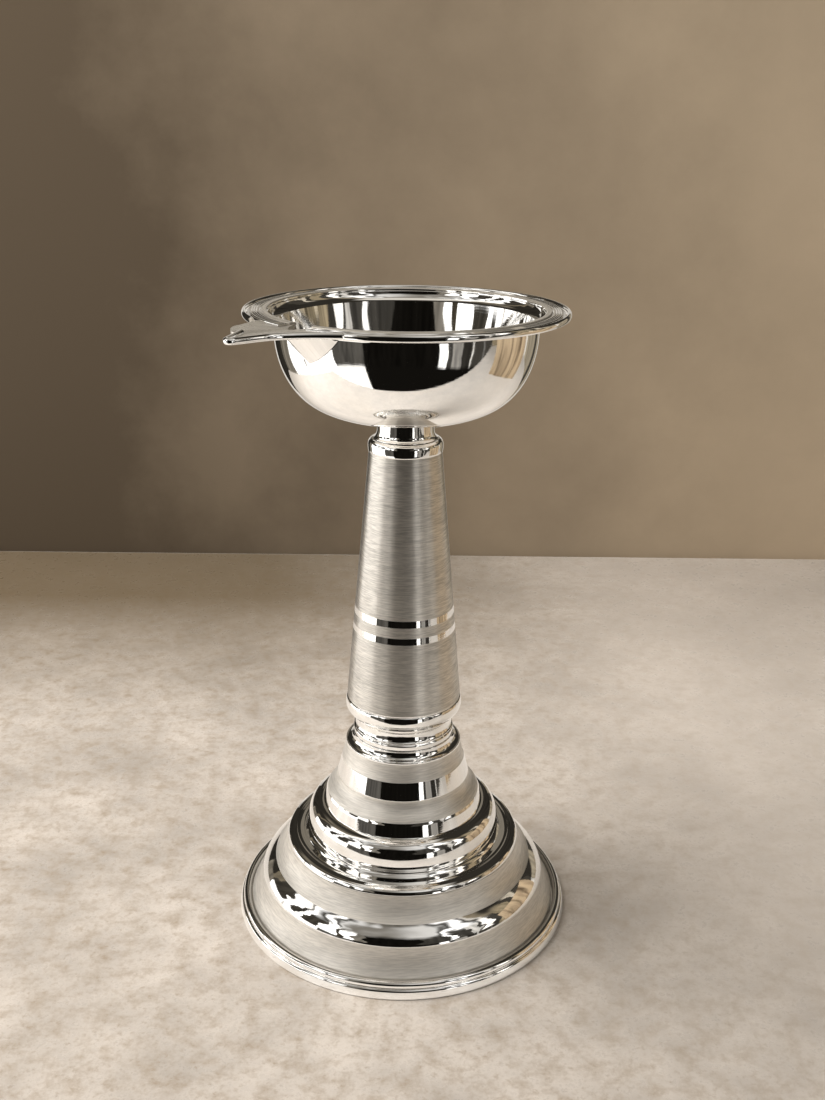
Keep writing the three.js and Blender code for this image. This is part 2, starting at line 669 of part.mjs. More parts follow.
function lipWire() {
  const path = new THREE.Path();
  const centre = lipInside + LIP_WIDTH / 2;
  const middle = flangeTop + LIP_RISE - LIP_HEIGHT / 2;
  path.absellipse(centre, middle, LIP_WIDTH / 2, LIP_HEIGHT / 2, 0, 2 * Math.PI);
  const points = outline(path, WIRE_STEPS).slice(0, -1);
  const cutAngle = spoutHalfAngle + (EDGE_ROLL + SEAM_GAP) / lipInside;
  return geometryOf(solid(turned(points)).subtract(spoutSector(cutAngle, BOWL_FLOOR_RADIUS)));
}

// The outer edge of the long lobe, from its root on the rim round its tip to the notch.
function longLobeEdge(path) {
  const rootReach = flangeRadius * Math.cos(spoutHalfAngle);
  const rootSide = flangeRadius * Math.sin(spoutHalfAngle);
  const half = LONG_LOBE_HALF_WIDTH;
  const tipNear = LONG_LOBE_REACH + half / 2;
  const tipFar = LONG_LOBE_REACH - half / 2;
  path.moveTo(rootReach, rootSide);
  path.quadraticCurveTo(
    LONG_WAIST_REACH - rootSide / 3, LONG_WAIST_SIDE + half, LONG_WAIST_REACH + half, LONG_WAIST_SIDE,
  );
  path.lineTo(LONG_LOBE_REACH - half, LONG_LOBE_SIDE + half);
  path.quadraticCurveTo(tipNear, LONG_LOBE_SIDE + half / 2, tipFar, LONG_LOBE_SIDE - half / 2);
  path.lineTo(NOTCH_REACH, NOTCH_SIDE);
  return path;
}

// The outer edge of the short lobe, from the notch round its tip to its root on the rim.
function shortLobeEdge(path) {
  const rootReach = flangeRadius * Math.cos(spoutHalfAngle);
  const rootSide = flangeRadius * Math.sin(spoutHalfAngle);
  const tipSide = (NOTCH_SIDE + SHORT_LOBE_SIDE) / 2;
  const shoulderReach = (SHORT_LOBE_REACH + SHORT_WAIST_REACH) / 2;
  path.quadraticCurveTo(
    SHORT_LOBE_REACH + SHORT_LOBE_SWELL, tipSide, SHORT_LOBE_REACH, SHORT_LOBE_SIDE,
  );
  path.quadraticCurveTo(shoulderReach, SHORT_WAIST_SIDE, SHORT_WAIST_REACH, SHORT_WAIST_SIDE);
  path.lineTo(rootReach, -rootSide);
  return path;
}

// A round bead along an edge of the plate.
function rolledEdge(points) {
  const height = flangeTop - EDGE_ROLL_DROP;
  const line = new THREE.CatmullRomCurve3(points.map((p) => new THREE.Vector3(p.x, p.y, height)));
  const section = new THREE.Shape().absarc(0, 0, EDGE_ROLL, 0, 2 * Math.PI);
  const geometry = new THREE.ExtrudeGeometry(section, {
    extrudePath: line,
    steps: 2 * points.length,
    curveSegments: CURVE_STEPS,
  });
  return solid(geometry.rotateZ(spoutTurn));
}

function spoutPlate() {
  const shape = shortLobeEdge(longLobeEdge(new THREE.Shape()));
  shape.absarc(0, 0, plateInside, -spoutHalfAngle, spoutHalfAngle, false);
  const notch = new THREE.Vector2(NOTCH_REACH, NOTCH_SIDE);
  const valley = new THREE.Shape();
  valley.moveTo(plateInside, 0);
  valley.lineTo(notch.x + VALLEY_HALF_WIDTH, notch.y - VALLEY_HALF_WIDTH);
  valley.lineTo(notch.x + VALLEY_HALF_WIDTH, notch.y + VALLEY_HALF_WIDTH);
  valley.closePath();
  const crease = solid(slab(valley, flangeTop - VALLEY_DEPTH, flangeTop + LIP_HEIGHT));
  const bead = rolledEdge(outline(longLobeEdge(new THREE.Path())));
  const body = solid(slab(shape, plateUnder, flangeTop)).add(bead);
  return geometryOf(body.subtract(crease).subtract(channel));
}

function spoutGutter() {
  const outer = solid(alongKeel(gutterSection(0)));
  const above = new THREE.BoxGeometry(4 * BOWL_RADIUS, 4 * BOWL_RADIUS, 4 * GUTTER_DEPTH);
  above.translate(0, 0, plateUnder + 2 * GUTTER_DEPTH);
  const bowlSolid = [...bowlOutside(SEAM_GAP)];
  bowlSolid.push(new THREE.Vector2(BOWL_RADIUS + 3 * SEAM_GAP, wallTop));
  bowlSolid.push(new THREE.Vector2(plateInside, wallTop + 2 * SEAM_GAP));
  bowlSolid.push(new THREE.Vector2(plateInside, flangeTop));
  bowlSolid.push(new THREE.Vector2(0, flangeTop));
  return geometryOf(
    outer.subtract(channel).subtract(solid(above)).subtract(solid(turned(bowlSolid))),
  );
}

add("foot_rim", footRim(), polished);
add("foot_wire", footWire(), polished);
add("lower_bell", lowerBell(), satin);
add("stepped_ledge", steppedLedge(), polished);
add("dome", dome(), polished);
add("upper_bell", upperBell(), satin);
add("collar", collar(), polished);
add("base_bush", baseBush(), steel);
add("stem_stud", stemStud(), steel);
add("stem_spool", stemSpool(), polished);
add("stem_tube", stemTube(), satin);
add("stem_cap", stemCap(), polished);
add("bowl_stud", bowlStud(), steel);
add("bowl_neck", bowlNeck(), polished);
add("oil_bowl", oilBowl(), polished);
add("rim_flange", rimFlange(), polished);
add("groove_ring", grooveRing(), polished);
add("lip_wire", lipWire(), polished);
add("spout_plate", spoutPlate(), polished);
add("spout_gutter", spoutGutter(), polished);

export default group;
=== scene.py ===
import math

import bmesh
import bpy
from bpy.props import FloatProperty, FloatVectorProperty, PointerProperty
from bpy.types import Operator, Panel, PropertyGroup
from mathutils import Matrix, Vector, noise
from mathutils.geometry import interpolate_bezier


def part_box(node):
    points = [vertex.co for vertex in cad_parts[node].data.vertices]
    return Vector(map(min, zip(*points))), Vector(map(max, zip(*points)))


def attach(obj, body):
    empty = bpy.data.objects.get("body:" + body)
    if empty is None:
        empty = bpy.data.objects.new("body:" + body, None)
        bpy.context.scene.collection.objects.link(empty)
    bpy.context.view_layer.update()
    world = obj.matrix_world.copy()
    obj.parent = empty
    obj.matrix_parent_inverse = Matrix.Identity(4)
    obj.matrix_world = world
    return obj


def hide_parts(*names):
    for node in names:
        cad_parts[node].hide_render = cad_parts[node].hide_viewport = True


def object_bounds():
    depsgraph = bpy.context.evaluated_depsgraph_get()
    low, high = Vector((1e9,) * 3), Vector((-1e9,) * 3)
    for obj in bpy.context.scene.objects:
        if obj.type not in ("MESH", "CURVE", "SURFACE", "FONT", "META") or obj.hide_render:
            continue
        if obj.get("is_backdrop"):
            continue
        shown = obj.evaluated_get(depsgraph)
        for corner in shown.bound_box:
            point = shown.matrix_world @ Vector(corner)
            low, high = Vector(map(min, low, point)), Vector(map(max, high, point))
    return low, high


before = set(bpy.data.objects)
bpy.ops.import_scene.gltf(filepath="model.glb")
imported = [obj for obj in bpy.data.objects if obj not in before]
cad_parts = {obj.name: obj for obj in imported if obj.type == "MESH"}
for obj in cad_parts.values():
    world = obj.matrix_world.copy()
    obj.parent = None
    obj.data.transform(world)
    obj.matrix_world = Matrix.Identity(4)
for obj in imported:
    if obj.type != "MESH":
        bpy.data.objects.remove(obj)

bl_info = {
    "name": "Standing Oil Lamp",
    "version": (1, 0, 0),
    "blender": (4, 5, 0),
    "location": "View3D > Sidebar > Oil Lamp",
    "description": "Turns, folds and finishes a standing oil lamp over its packed frame",
    "category": "Add Mesh",
}

MM = 0.001
FULL_TURN = 2 * math.pi
CENTRE = (0, 0, 0)
AXIS = (0, 0, 1)
MERGE_DISTANCE = 1e-7
SHARP_ANGLE = math.radians(32)
SHARP_FOLD_ANGLE = math.radians(40)


def foot_of(node):
    """The lowest height of a node of the frame, in millimetres."""
    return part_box(node)[0].z / MM


def top_of(node):
    """The highest height of a node of the frame, in millimetres."""
    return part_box(node)[1].z / MM


def reach_of(node):
    """The outside radius of a turned node of the frame, in millimetres."""
    low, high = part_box(node)
    return max(high.x, high.y, -low.x, -low.y) / MM


# Sizes are in millimetres. A pair is a point of an outline: its radius and its height.

# Levels of the base, stem and bowl, from the frame
RIM_TOP = top_of("foot_rim")
BELL_TOP = top_of("lower_bell")
LEDGE_TOP = top_of("stepped_ledge")
DOME_TOP = top_of("dome")
UPPER_BELL_TOP = top_of("upper_bell")
COLLAR_TOP = top_of("collar")
BUSH_FOOT = foot_of("base_bush")
BUSH_TOP = top_of("base_bush")
SPOOL_FOOT = foot_of("stem_spool")
SPOOL_TOP = top_of("stem_spool")
TUBE_FOOT = foot_of("stem_tube")
TUBE_TOP = top_of("stem_tube")
CAP_FOOT = foot_of("stem_cap")
CAP_TOP = top_of("stem_cap")
NECK_FOOT = foot_of("bowl_neck")
BOWL_FOOT = foot_of("oil_bowl")
WALL_TOP = top_of("oil_bowl")
FLANGE_TOP = top_of("rim_flange")
LIP_TOP = top_of("lip_wire")

# Radii, from the frame
FOOT_RADIUS = reach_of("foot_rim")
SKIRT_RADIUS = reach_of("lower_bell")
LEDGE_RADIUS = reach_of("stepped_ledge")
DOME_RADIUS = reach_of("dome")
HIGH_BAND_RADIUS = reach_of("upper_bell")
COLLAR_RADIUS = reach_of("collar")
TUBE_FOOT_RADIUS = reach_of("stem_tube")
CAP_RADIUS = reach_of("stem_cap")
BOWL_RADIUS = reach_of("oil_bowl")
FLANGE_RADIUS = reach_of("rim_flange")
LIP_RADIUS = reach_of("lip_wire")

# Radii of eased edges, and the play of a part that fits in another
SLIGHT_EASE = 0.1
EASE = 0.2
FULL_EASE = 0.3
PLAY = 0.3

# Foot rim and its wire
RIM_TOP_RADIUS = 48.35
RIM_FLARE = 0.4
RIM_ROLL = 0.95
RIM_SHOULDER = 0.3
RIM_FOLD_RADIUS = 47.2
RIM_SHEET = 1.0
RIM_HEEL_EASE = 0.5
RIM_SHOULDER_EASE = 0.4
WIRE_CENTRE = 47.0
WIRE_RADIUS = 1.15
WIRE_SEAT = 0.575
WIRE_SIDES = 40

# Lower bell, and the points that its curves bend towards
SKIRT_TOP = 4.1
SKIRT_EASE = 0.5
SKIRT_BEND = (42.89, 6.67)
LOW_SATIN_RADIUS, LOW_SATIN_TOP = 42.0, 11.8
LOW_BAND_BEND = (41.23, 14.03)
LOW_BAND_RADIUS, LOW_BAND_TOP = 38.15, 16.25
LEDGE_SEAT_BEND = (35.15, 18.37)
BELL_FROST = 0.30

# Ledge
LEDGE_STEPS = 5
POINTS_A_STEP = 4
GROOVE_POINT = 2
LEDGE_EDGE = 0.4
LEDGE_GROOVE = 0.04
LEDGE_SIDE = 1.1
LEDGE_BEND_DROP = 0.95
LEDGE_CREST_DROP = 0.85

# Dome
DOME_DRAFT = 0.25
DOME_SIDE = 1.72
DOME_EASE = 0.6
DOME_LIP = 1.0

# Upper bell
HIGH_BAND_TOP = 38.2
HIGH_SATIN_RADIUS, HIGH_SATIN_TOP = 22.45, 43.55
TOP_BAND_RADIUS, TOP_BAND_TOP = 19.15, 48.55
TOP_SATIN_RADIUS = 17.85
HIGH_BAND_EASE = 0.4
HIGH_BAND_END = (HIGH_SATIN_RADIUS + 0.2, HIGH_BAND_TOP - 0.8)
HIGH_SATIN_BEND = (22.12, HIGH_BAND_TOP + 0.54)
HIGH_SATIN_MIDDLE = (20.8, HIGH_BAND_TOP + 1.78)
TOP_BAND_BEND = (TOP_BAND_RADIUS, HIGH_SATIN_TOP - 1.78)
COLLAR_SEAT_BEND = (COLLAR_RADIUS + 0.24, UPPER_BELL_TOP - 2.55)

# Collar, bush and studs
COLLAR_MOUTH = 14.5
COLLAR_LIP = 0.5
COLLAR_WEB = 2
BUSH_BORE = 4.3
BUSH_RADIUS = 6.3
BUSH_FLANGE = 9.8
BUSH_FLANGE_SHEET = 1
STUD_RADIUS = 4.0
BOWL_STUD_RADIUS = 3.0
STUD_EASE = 0.6
CAP_BORE = 3.3
THREAD_PITCH = 1.25
THREAD_DEPTH = 0.6
THREAD_SINK = 0.05
THREAD_FOOT_SHARE = 0.42
THREAD_CREST_SHARE = 0.15

# Spool at the stem's foot
SPOOL_RADIUS = 14.45
SPOOL_GROOVE = 0.4
REEL_FOOT = 58.2
REEL_BEND = 1.2
REEL_WAIST = 13.55
BEAD_FOOT = 61.8
BEAD_TOP = 68.1
BEAD_RADIUS = 16.64
BEAD_CROWN = 2.1
BEAD_SWELL = 1.6
TUBE_SEAT = 0.2
SPIGOT_RADIUS = 14.35

# Tube with its two polished rings, and cap
TUBE_HEAD_RADIUS = 9.96
TUBE_SHEET = 1.2
TUBE_RINGS = ((89.36, 91.22), (94.23, 96.18))
CAP_BELLY_DROP = 0.1
CAP_SHOULDER = 1.35
CAP_SHOULDER_DROP = 0.2

# Neck
NECK_EDGE = 0.15
NECK_WAIST = 7.7
NECK_WAIST_RISE = 2.1
NECK_BEND = 0.45
NECK_INSET = 0.1
NECK_HEAD = 8.1
NECK_ROOF = 149.4

# Bowl; the wall's bend points lie at shares of its run outwards and of its height
BOWL_SHEET = 0.7
FLOOR_EDGE = 24.7
FLOOR_RISE = 3.7
FLOOR_BEND = 18.3
WALL_BEND_RUN = 0.61
WALL_BEND_LOW = 0.16
WALL_BEND_HIGH = 0.51
WALL_SWELL = 0.4
INNER_TAPER = 3.6

# Rim
COVE_RADIUS = 35.8
COVE_LAND = 0.2
COVE_BEND = 0.35
COVE_BACK_RISE = 0.45
COVE_EASE = 0.15
FLANGE_SHEET = 0.8
RING_INNER = 35.95
RING_OUTER = 40.45
RING_HEIGHT = 0.5
RING_CROWN = 0.72
RING_EDGE_EASE = 0.25
RING_STEP = 37.65
RING_STEP_HEIGHT = 0.3
RING_STEP_EDGE = 0.35
RING_STEP_FLANK = 0.2
RING_DRAFT = 0.1
RING_GROOVES = (39.75, 39.2, 38.6)
RING_GROOVE_HALF_WIDTH = 0.17
RING_GROOVE_FOOT = 0.28
RING_POLISHED = (0.05, 0.46)
RING_GAP_HALF_WIDTH = 2.7
RING_GAP_WIDENING = 0.378
RING_GAP_BELOW = 1
RING_GAP_ABOVE = 2
LIP_WIDTH = 1.2
LIP_HEIGHT = 1.8
LIP_SIDES = 32
LIP_PAUSE = 1.0
SEAM_GAP = 0.3

# Spout; a pair here is a reach along the spout from the axis, and a side across it
SPOUT_AZIMUTH = math.radians(-132)
SPOUT_HALF_ANGLE = math.radians(21.5)
SPOUT_STEPS = 40
PLATE_SHEET = 0.8
PLATE_INSIDE = 36.3
LOBE_ROOT = (
    FLANGE_RADIUS * math.cos(SPOUT_HALF_ANGLE),
    FLANGE_RADIUS * math.sin(SPOUT_HALF_ANGLE),
)
LONG_LOBE_BEND = (51.5 - LOBE_ROOT[1] / 3, 5.0)
LONG_LOBE_SIDE = ((52.8, 3.7), (59.9, 2.5))
LONG_LOBE_TIP = ((61.85, 1.85), (60.55, 0.55))
NOTCH = (51.8, -4.6)
SHORT_LOBE_TIP = ((52.9, -6.15), (52.3, -7.7))
SHORT_LOBE_SIDE = ((48.9, -12.8), (45.5, -12.8))
VALLEY_DEPTH = 0.45
VALLEY_HALF_WIDTH = 2.6
VALLEY_LEAST_WIDTH = 1e-3
VALLEY_CREASES = (-1, -0.75, -0.5, -0.25, 0, 0.25, 0.5, 0.75, 1)
EDGE_ROLL = 0.82
EDGE_ROLL_DROP = 0.15
EDGE_ROLL_STEPS = 5
GUTTER_DEPTH = 9.15
GUTTER_SHEET = 1.0
GUTTER_SLOPE = math.radians(45)
GUTTER_BEND = (6.5, 1.6)
GUTTER_BRIM = (10.2, 7.0)
MOUTH_WIDTH = 20.0
MOUTH_SHARE = 0.42
ABOVE = ((0, -40), (100, -40), (100, 40), (0, 40))
ABOVE_HEIGHT = 60
JOINT_LENGTH = 4.6
JOINT_WIDTH = 1.4
JOINT_DROP = 0.25
JOINT_ROUNDNESS = 4
JOINT_LUMPS = ((0.22, 2.6), (0.12, 6.0))

# Steps of curves, turned work and threads
CURVE_STEPS = 24
EDGE_STEPS = 4
TURN_STEPS = 256
SMALL_TURN_STEPS = 160
BUSH_TURN_STEPS = 96
STUD_TURN_STEPS = 64
THREAD_STEPS = 48


# Clouds of noise, as scale, detail and roughness
FINE_LINES = (1.0, 3.0, 0.6)
BROAD_LINES = (0.16, 2.0)
STONE_CLOUDS = (22.0, 6.0, 0.65)
STONE_MOTTLE = (170.0, 6.0, 0.72)
STONE_SPECKS = (520.0, 2.0, 0.7)
PLASTER_CLOUDS = (9.0, 7.0, 0.6)
ROOM_RIPPLES = (4.0, 3.0)
ROOM_SWAY = (3.2, 1.5)
ROOM_STREAKS = (16.0, 3.0)

# The stretches of a cloud's value that a finish uses, from low to high
LINE_RANGE = (0.36, 0.64)
BAND_RANGE = (0.35, 0.65)
SMUDGE_RANGE = (0.42, 0.68)
SCRATCHED_RANGE = (0.52, 0.6)
VEIN_RANGE = (0.46, 0.70)
SPECK_RANGE = (0.56, 0.72)
FOLD_RANGE = (0.34, 0.62)
FULL_RANGE = (0.3, 0.7)

# Turning lines and handling marks; lengths of texture are in metres
SCRATCH_WARP = 0.004
HAIRLINE_WIDTH = 0.012
FINE_RELIEF = 0.00001
LINE_RELIEF = 0.00002
WAVE_WEIGHT = 6.0

# Polished silver: how far smudges warm it, and what makes it rougher
POLISHED_FILM = 0.22
POLISHED_ROUGHNESS = 0.028
SMUDGE_ROUGHNESS = 0.035
SCRATCH_ROUGHNESS = 0.08
POLISHED_BUMP = 0.12

# Satin silver
SATIN_BREAK = 0.0035
SATIN_LINE_TONE = 0.6
SATIN_BAND_TONE = 0.25
SATIN_LINE_ROUGHNESS = 0.10
SATIN_LINE_OFFSET = 0.06
SATIN_SMUDGE_ROUGHNESS = 0.05
LINE_BUMP = 0.5
ROUND_THE_AXIS = 0.25

# Brushed silver
BRUSHED_FINENESS = 0.8
BRUSHED_MARKS = 1 / 2
BRUSHED_BREAK = 0.03
BRUSHED_FILM = 0.2
BRUSHED_LINE_TONE = 0.75
BRUSHED_ROUGHNESS = 0.26
BRUSHED_LINE_ROUGHNESS = 0.14
BRUSHED_METALLIC = 0.72

# Stud steel
STEEL_FINENESS = 1 / 2
STEEL_MARKS = 1 / 3
STEEL_FILM = 0.4
STEEL_ROUGHNESS = 0.24
STEEL_LINE_ROUGHNESS = 0.12
STEEL_BUMP = 0.3


def length(name, description, default):
    return FloatProperty(
        name=name, description=description, default=default, unit="LENGTH", subtype="DISTANCE"
    )


def tint(name, description, default):
    return FloatVectorProperty(
        name=name, description=description, default=default, subtype="COLOR", min=0, max=1
    )


def share(name, description, default):
    return FloatProperty(
        name=name, description=description, default=default, subtype="FACTOR", min=0, max=1
    )


class LampSizes(PropertyGroup):
    edge_softness: length(
        "Edge Softness", "Radius left on turned edges by the polishing mop", 0.00018
    )
    bell_sheet: length("Bell Sheet", "Thickness of the sheet that the base is spun from", 0.001)
    line_spacing: length(
        "Turning Line Spacing",
        "Distance between the fine lines that the lathe leaves on satin zones",
        0.0003,
    )
    smudge_size: length(
        "Smudge Size", "Size of the faint marks left by handling and wiping", 0.012
    )


class LampFinishes(PropertyGroup):
    polished_color: tint(
        "Polished Silver", "Reflection colour of the polished silver", (0.955, 0.945, 0.925)
    )
    satin_color: tint(
        "Satin Silver", "Reflection colour of the satin-turned silver", (0.86, 0.815, 0.745)
    )
    warm_color: tint(
        "Warm Tone", "Colour of the thin warm film where wiping reaches less", (0.80, 0.74, 0.65)
    )
    line_color: tint(
        "Turned Lines",
        "Colour at the bottom of the fine lines that turning leaves",
        (0.46, 0.435, 0.395),
    )
    brushed_color: tint(
        "Brushed Silver",
        "Reflection colour of the brushed rim and spout plate",
        (0.66, 0.605, 0.52),
    )
    steel_color: tint("Stud Steel", "Reflection colour of the screw studs", (0.60, 0.59, 0.57))
    satin_roughness: share("Satin Roughness", "Roughness of the satin-turned zones", 0.43)
    satin_grain: share(
        "Satin Grain", "How far the turning lines draw a highlight out across them", 0.85
    )


class StageSettings(PropertyGroup):
    table_color: tint("Table", "Colour of the pale stone table", (0.53, 0.478, 0.425))
    wall_color: tint("Wall", "Colour of the plain wall behind", (0.645, 0.514, 0.363))
    wall_distance: length("Wall Distance", "Distance of the wall behind the lamp", 0.305)
    table_front: length(
        "Table Front", "Distance of the table's front edge before the lamp", 0.158
    )
    table_left: length("Table Left", "Distance of the table's left edge from the lamp", 0.30)
    table_right: length("Table Right", "Distance of the table's right edge from the lamp", 0.95)
    table_skew: FloatProperty(
        name="Table Skew",
        description="How far the front edge runs off to the front towards the right, per length",
        default=0.10,
        min=-1,
        max=1,
    )
    key_power: FloatProperty(
        name="Key Light",
        description="Power of the soft key light at the left",
        default=7.4,
        unit="POWER",
        min=0,
    )
    room_strength: FloatProperty(
        name="Room Light",
        description="Strength of the light that the room's pale panels give",
        default=1.0,
        min=0,
    )


def settings():
    scene = bpy.context.scene
    return scene.lamp_sizes, scene.lamp_finishes, scene.lamp_stage


# Outlines of turned pieces


class Outline:
    """The outline of a turned piece as radius and height in millimetres. A stretch's soft is
    the radius that rounds the corner at its end."""

    def __init__(self, radius, height):
        self.points = [Vector((radius, height))]
        self.soft = {}

    def add(self, points, soft):
        self.points += points
        if soft:
            self.soft[len(self.points) - 1] = soft
        return self

    def line(self, radius, height, soft=0.0):
        """A straight stretch."""
        return self.add([Vector((radius, height))], soft)

    def curve(self, bend_radius, bend_height, radius, height, soft=0.0):
        """A stretch that leaves towards the bend point and arrives from it."""
        bend, end = Vector((bend_radius, bend_height)), Vector((radius, height))
        return self.add(bent_points(self.points[-1], bend, end)[1:], soft)

    def sweep(self, leave, arrive, end):
        """A stretch with one bend point near each of its ends."""
        curve = curve_points(self.points[-1], Vector(leave), Vector(arrive), Vector(end))
        return self.add(curve[1:], 0.0)


def curve_points(start, leave, arrive, end, steps=CURVE_STEPS):
    """Points of a smooth curve in the plane, its ends included."""
    flat = [Vector((p.x, p.y, 0)) for p in (start, leave, arrive, end)]
    return [Vector((p.x, p.y)) for p in interpolate_bezier(*flat, steps + 1)]


def bent_points(start, bend, end, steps=CURVE_STEPS):
    """Points of a curve that leaves towards one bend point and arrives from it."""
    return curve_points(start, start.lerp(bend, 2 / 3), end.lerp(bend, 2 / 3), end, steps)


# Work on meshes


def moved(bm, shift):
    bmesh.ops.translate(bm, verts=bm.verts[:], vec=shift)


def scaled(bm, factors):
    bmesh.ops.scale(bm, verts=bm.verts[:], vec=factors)


def swung(bm, angle, axis="Z"):
    turn = Matrix.Rotation(angle, 3, axis)
    bmesh.ops.rotate(bm, verts=bm.verts[:], cent=CENTRE, matrix=turn)


def everything(bm):
    return bm.verts[:] + bm.edges[:] + bm.faces[:]


def wire_of(outline, closed):
    """The outline as a wire in the XZ plane, its marked corners rounded."""
    bm = bmesh.new()
    verts = [bm.verts.new((p.x * MM, 0, p.y * MM)) for p in outline.points]
    pairs = list(zip(verts, verts[1:]))
    if closed:
        pairs.append((verts[-1], verts[0]))
    for pair in pairs:
        bm.edges.new(pair)
    for radius in sorted(set(outline.soft.values())):
        corners = [verts[i] for i, soft in outline.soft.items() if soft == radius]
        bmesh.ops.bevel(
            bm,
            geom=corners,
            offset=radius * MM,
            offset_type="OFFSET",
            segments=EDGE_STEPS,
            profile=0.5,
            affect="VERTICES",
            material=-1,
        )
    return bm


def spin(bm, steps, angle=FULL_TURN, climb=0.0):
    """Turns all that the mesh holds about the lamp's axis. Climb is the rise at each step."""
    whole = angle == FULL_TURN
    bmesh.ops.spin(
        bm,
        geom=everything(bm),
        cent=CENTRE,
        axis=AXIS,
        dvec=(0, 0, climb),
        angle=angle,
        steps=steps,
        use_merge=whole,
    )
    if whole:
        bmesh.ops.remove_doubles(bm, verts=bm.verts[:], dist=MERGE_DISTANCE)
    bmesh.ops.recalc_face_normals(bm, faces=bm.faces[:])


def face_outwards(bm):
    """Turns an open shell's faces away from the lamp's axis."""
    tilt = 0.0
    for face in bm.faces:
        middle = face.calc_center_median()
        outwards = Vector((middle.x, middle.y, 0)).normalized()
        tilt += face.calc_area() * face.normal.dot(outwards)
    if tilt < 0:
        bmesh.ops.reverse_faces(bm, faces=bm.faces[:])


def mesh_of(bm):
    """The finished mesh."""
    mesh = bpy.data.meshes.new("work")
    bm.normal_update()
    bm.to_mesh(mesh)
    bm.free()
    return mesh


def joined(*meshes):
    bm = bmesh.new()
    for mesh in meshes:
        bm.from_mesh(mesh)
    return bm


def turned(outline, closed=False, sheet=0.0, steps=TURN_STEPS, bands=()):
    """A turned mesh. An open outline is given a sheet's thickness inwards, in millimetres.
    Bands are the stretches of height, in millimetres, that take the second material."""
    bm = wire_of(outline, closed)
    spin(bm, steps)
    for face in bm.faces:
        height = face.calc_center_median().z / MM
        face.material_index = int(any(low < height < high for low, high in bands))
    if sheet:
        face_outwards(bm)
        bmesh.ops.solidify(bm, geom=bm.faces[:], thickness=sheet * MM)
    return mesh_of(bm)


def drawn_out(points, way):
    """A flat outline of points drawn out along a way into a solid."""
    bm = bmesh.new()
    face = bm.faces.new([bm.verts.new(point) for point in points])
    made = bmesh.ops.extrude_face_region(bm, geom=[face])
    ends = [part for part in made["geom"] if isinstance(part, bmesh.types.BMVert)]
    bmesh.ops.translate(bm, verts=ends, vec=way)
    bmesh.ops.recalc_face_normals(bm, faces=bm.faces[:])
    return bm


def placed(name, data):
    """A new object in the scene."""
    thing = bpy.data.objects.new(name, data)
    bpy.context.scene.collection.objects.link(thing)
    return thing


def shaped(thing):
    """The mesh that an object's modifiers or curve settings give."""
    graph = bpy.context.evaluated_depsgraph_get()
    return bpy.data.meshes.new_from_object(thing.evaluated_get(graph), depsgraph=graph)


def cut_away(mesh, *cutters):
    """The mesh with the room that the cutters take up removed."""
    body = placed("cut_work", mesh)
    tools = [placed("cut_tool", cutter) for cutter in cutters]
    for tool in tools:
        cut = body.modifiers.new("cut", "BOOLEAN")
        cut.operation = "DIFFERENCE"
        cut.solver = "EXACT"
        cut.object = tool
    result = shaped(body)
    for thing in (body, *tools):
        bpy.data.objects.remove(thing)
    return result


def finish_piece(
    name, mesh, body, node, slot="polished_silver", materials=(), sharp=SHARP_ANGLE
):
    """Puts a mesh in the scene as a piece that rides on a body and stands for a node of the
    frame. Without other materials it is polished silver."""
    mesh.name = name
    mesh.polygons.foreach_set("use_smooth", [True] * len(mesh.polygons))
    mesh.set_sharp_from_angle(angle=sharp)
    for material in materials or [polished_silver()]:
        mesh.materials.append(material)
    piece = placed(name, mesh)
    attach(piece, body)
    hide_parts(node)


# Node trees


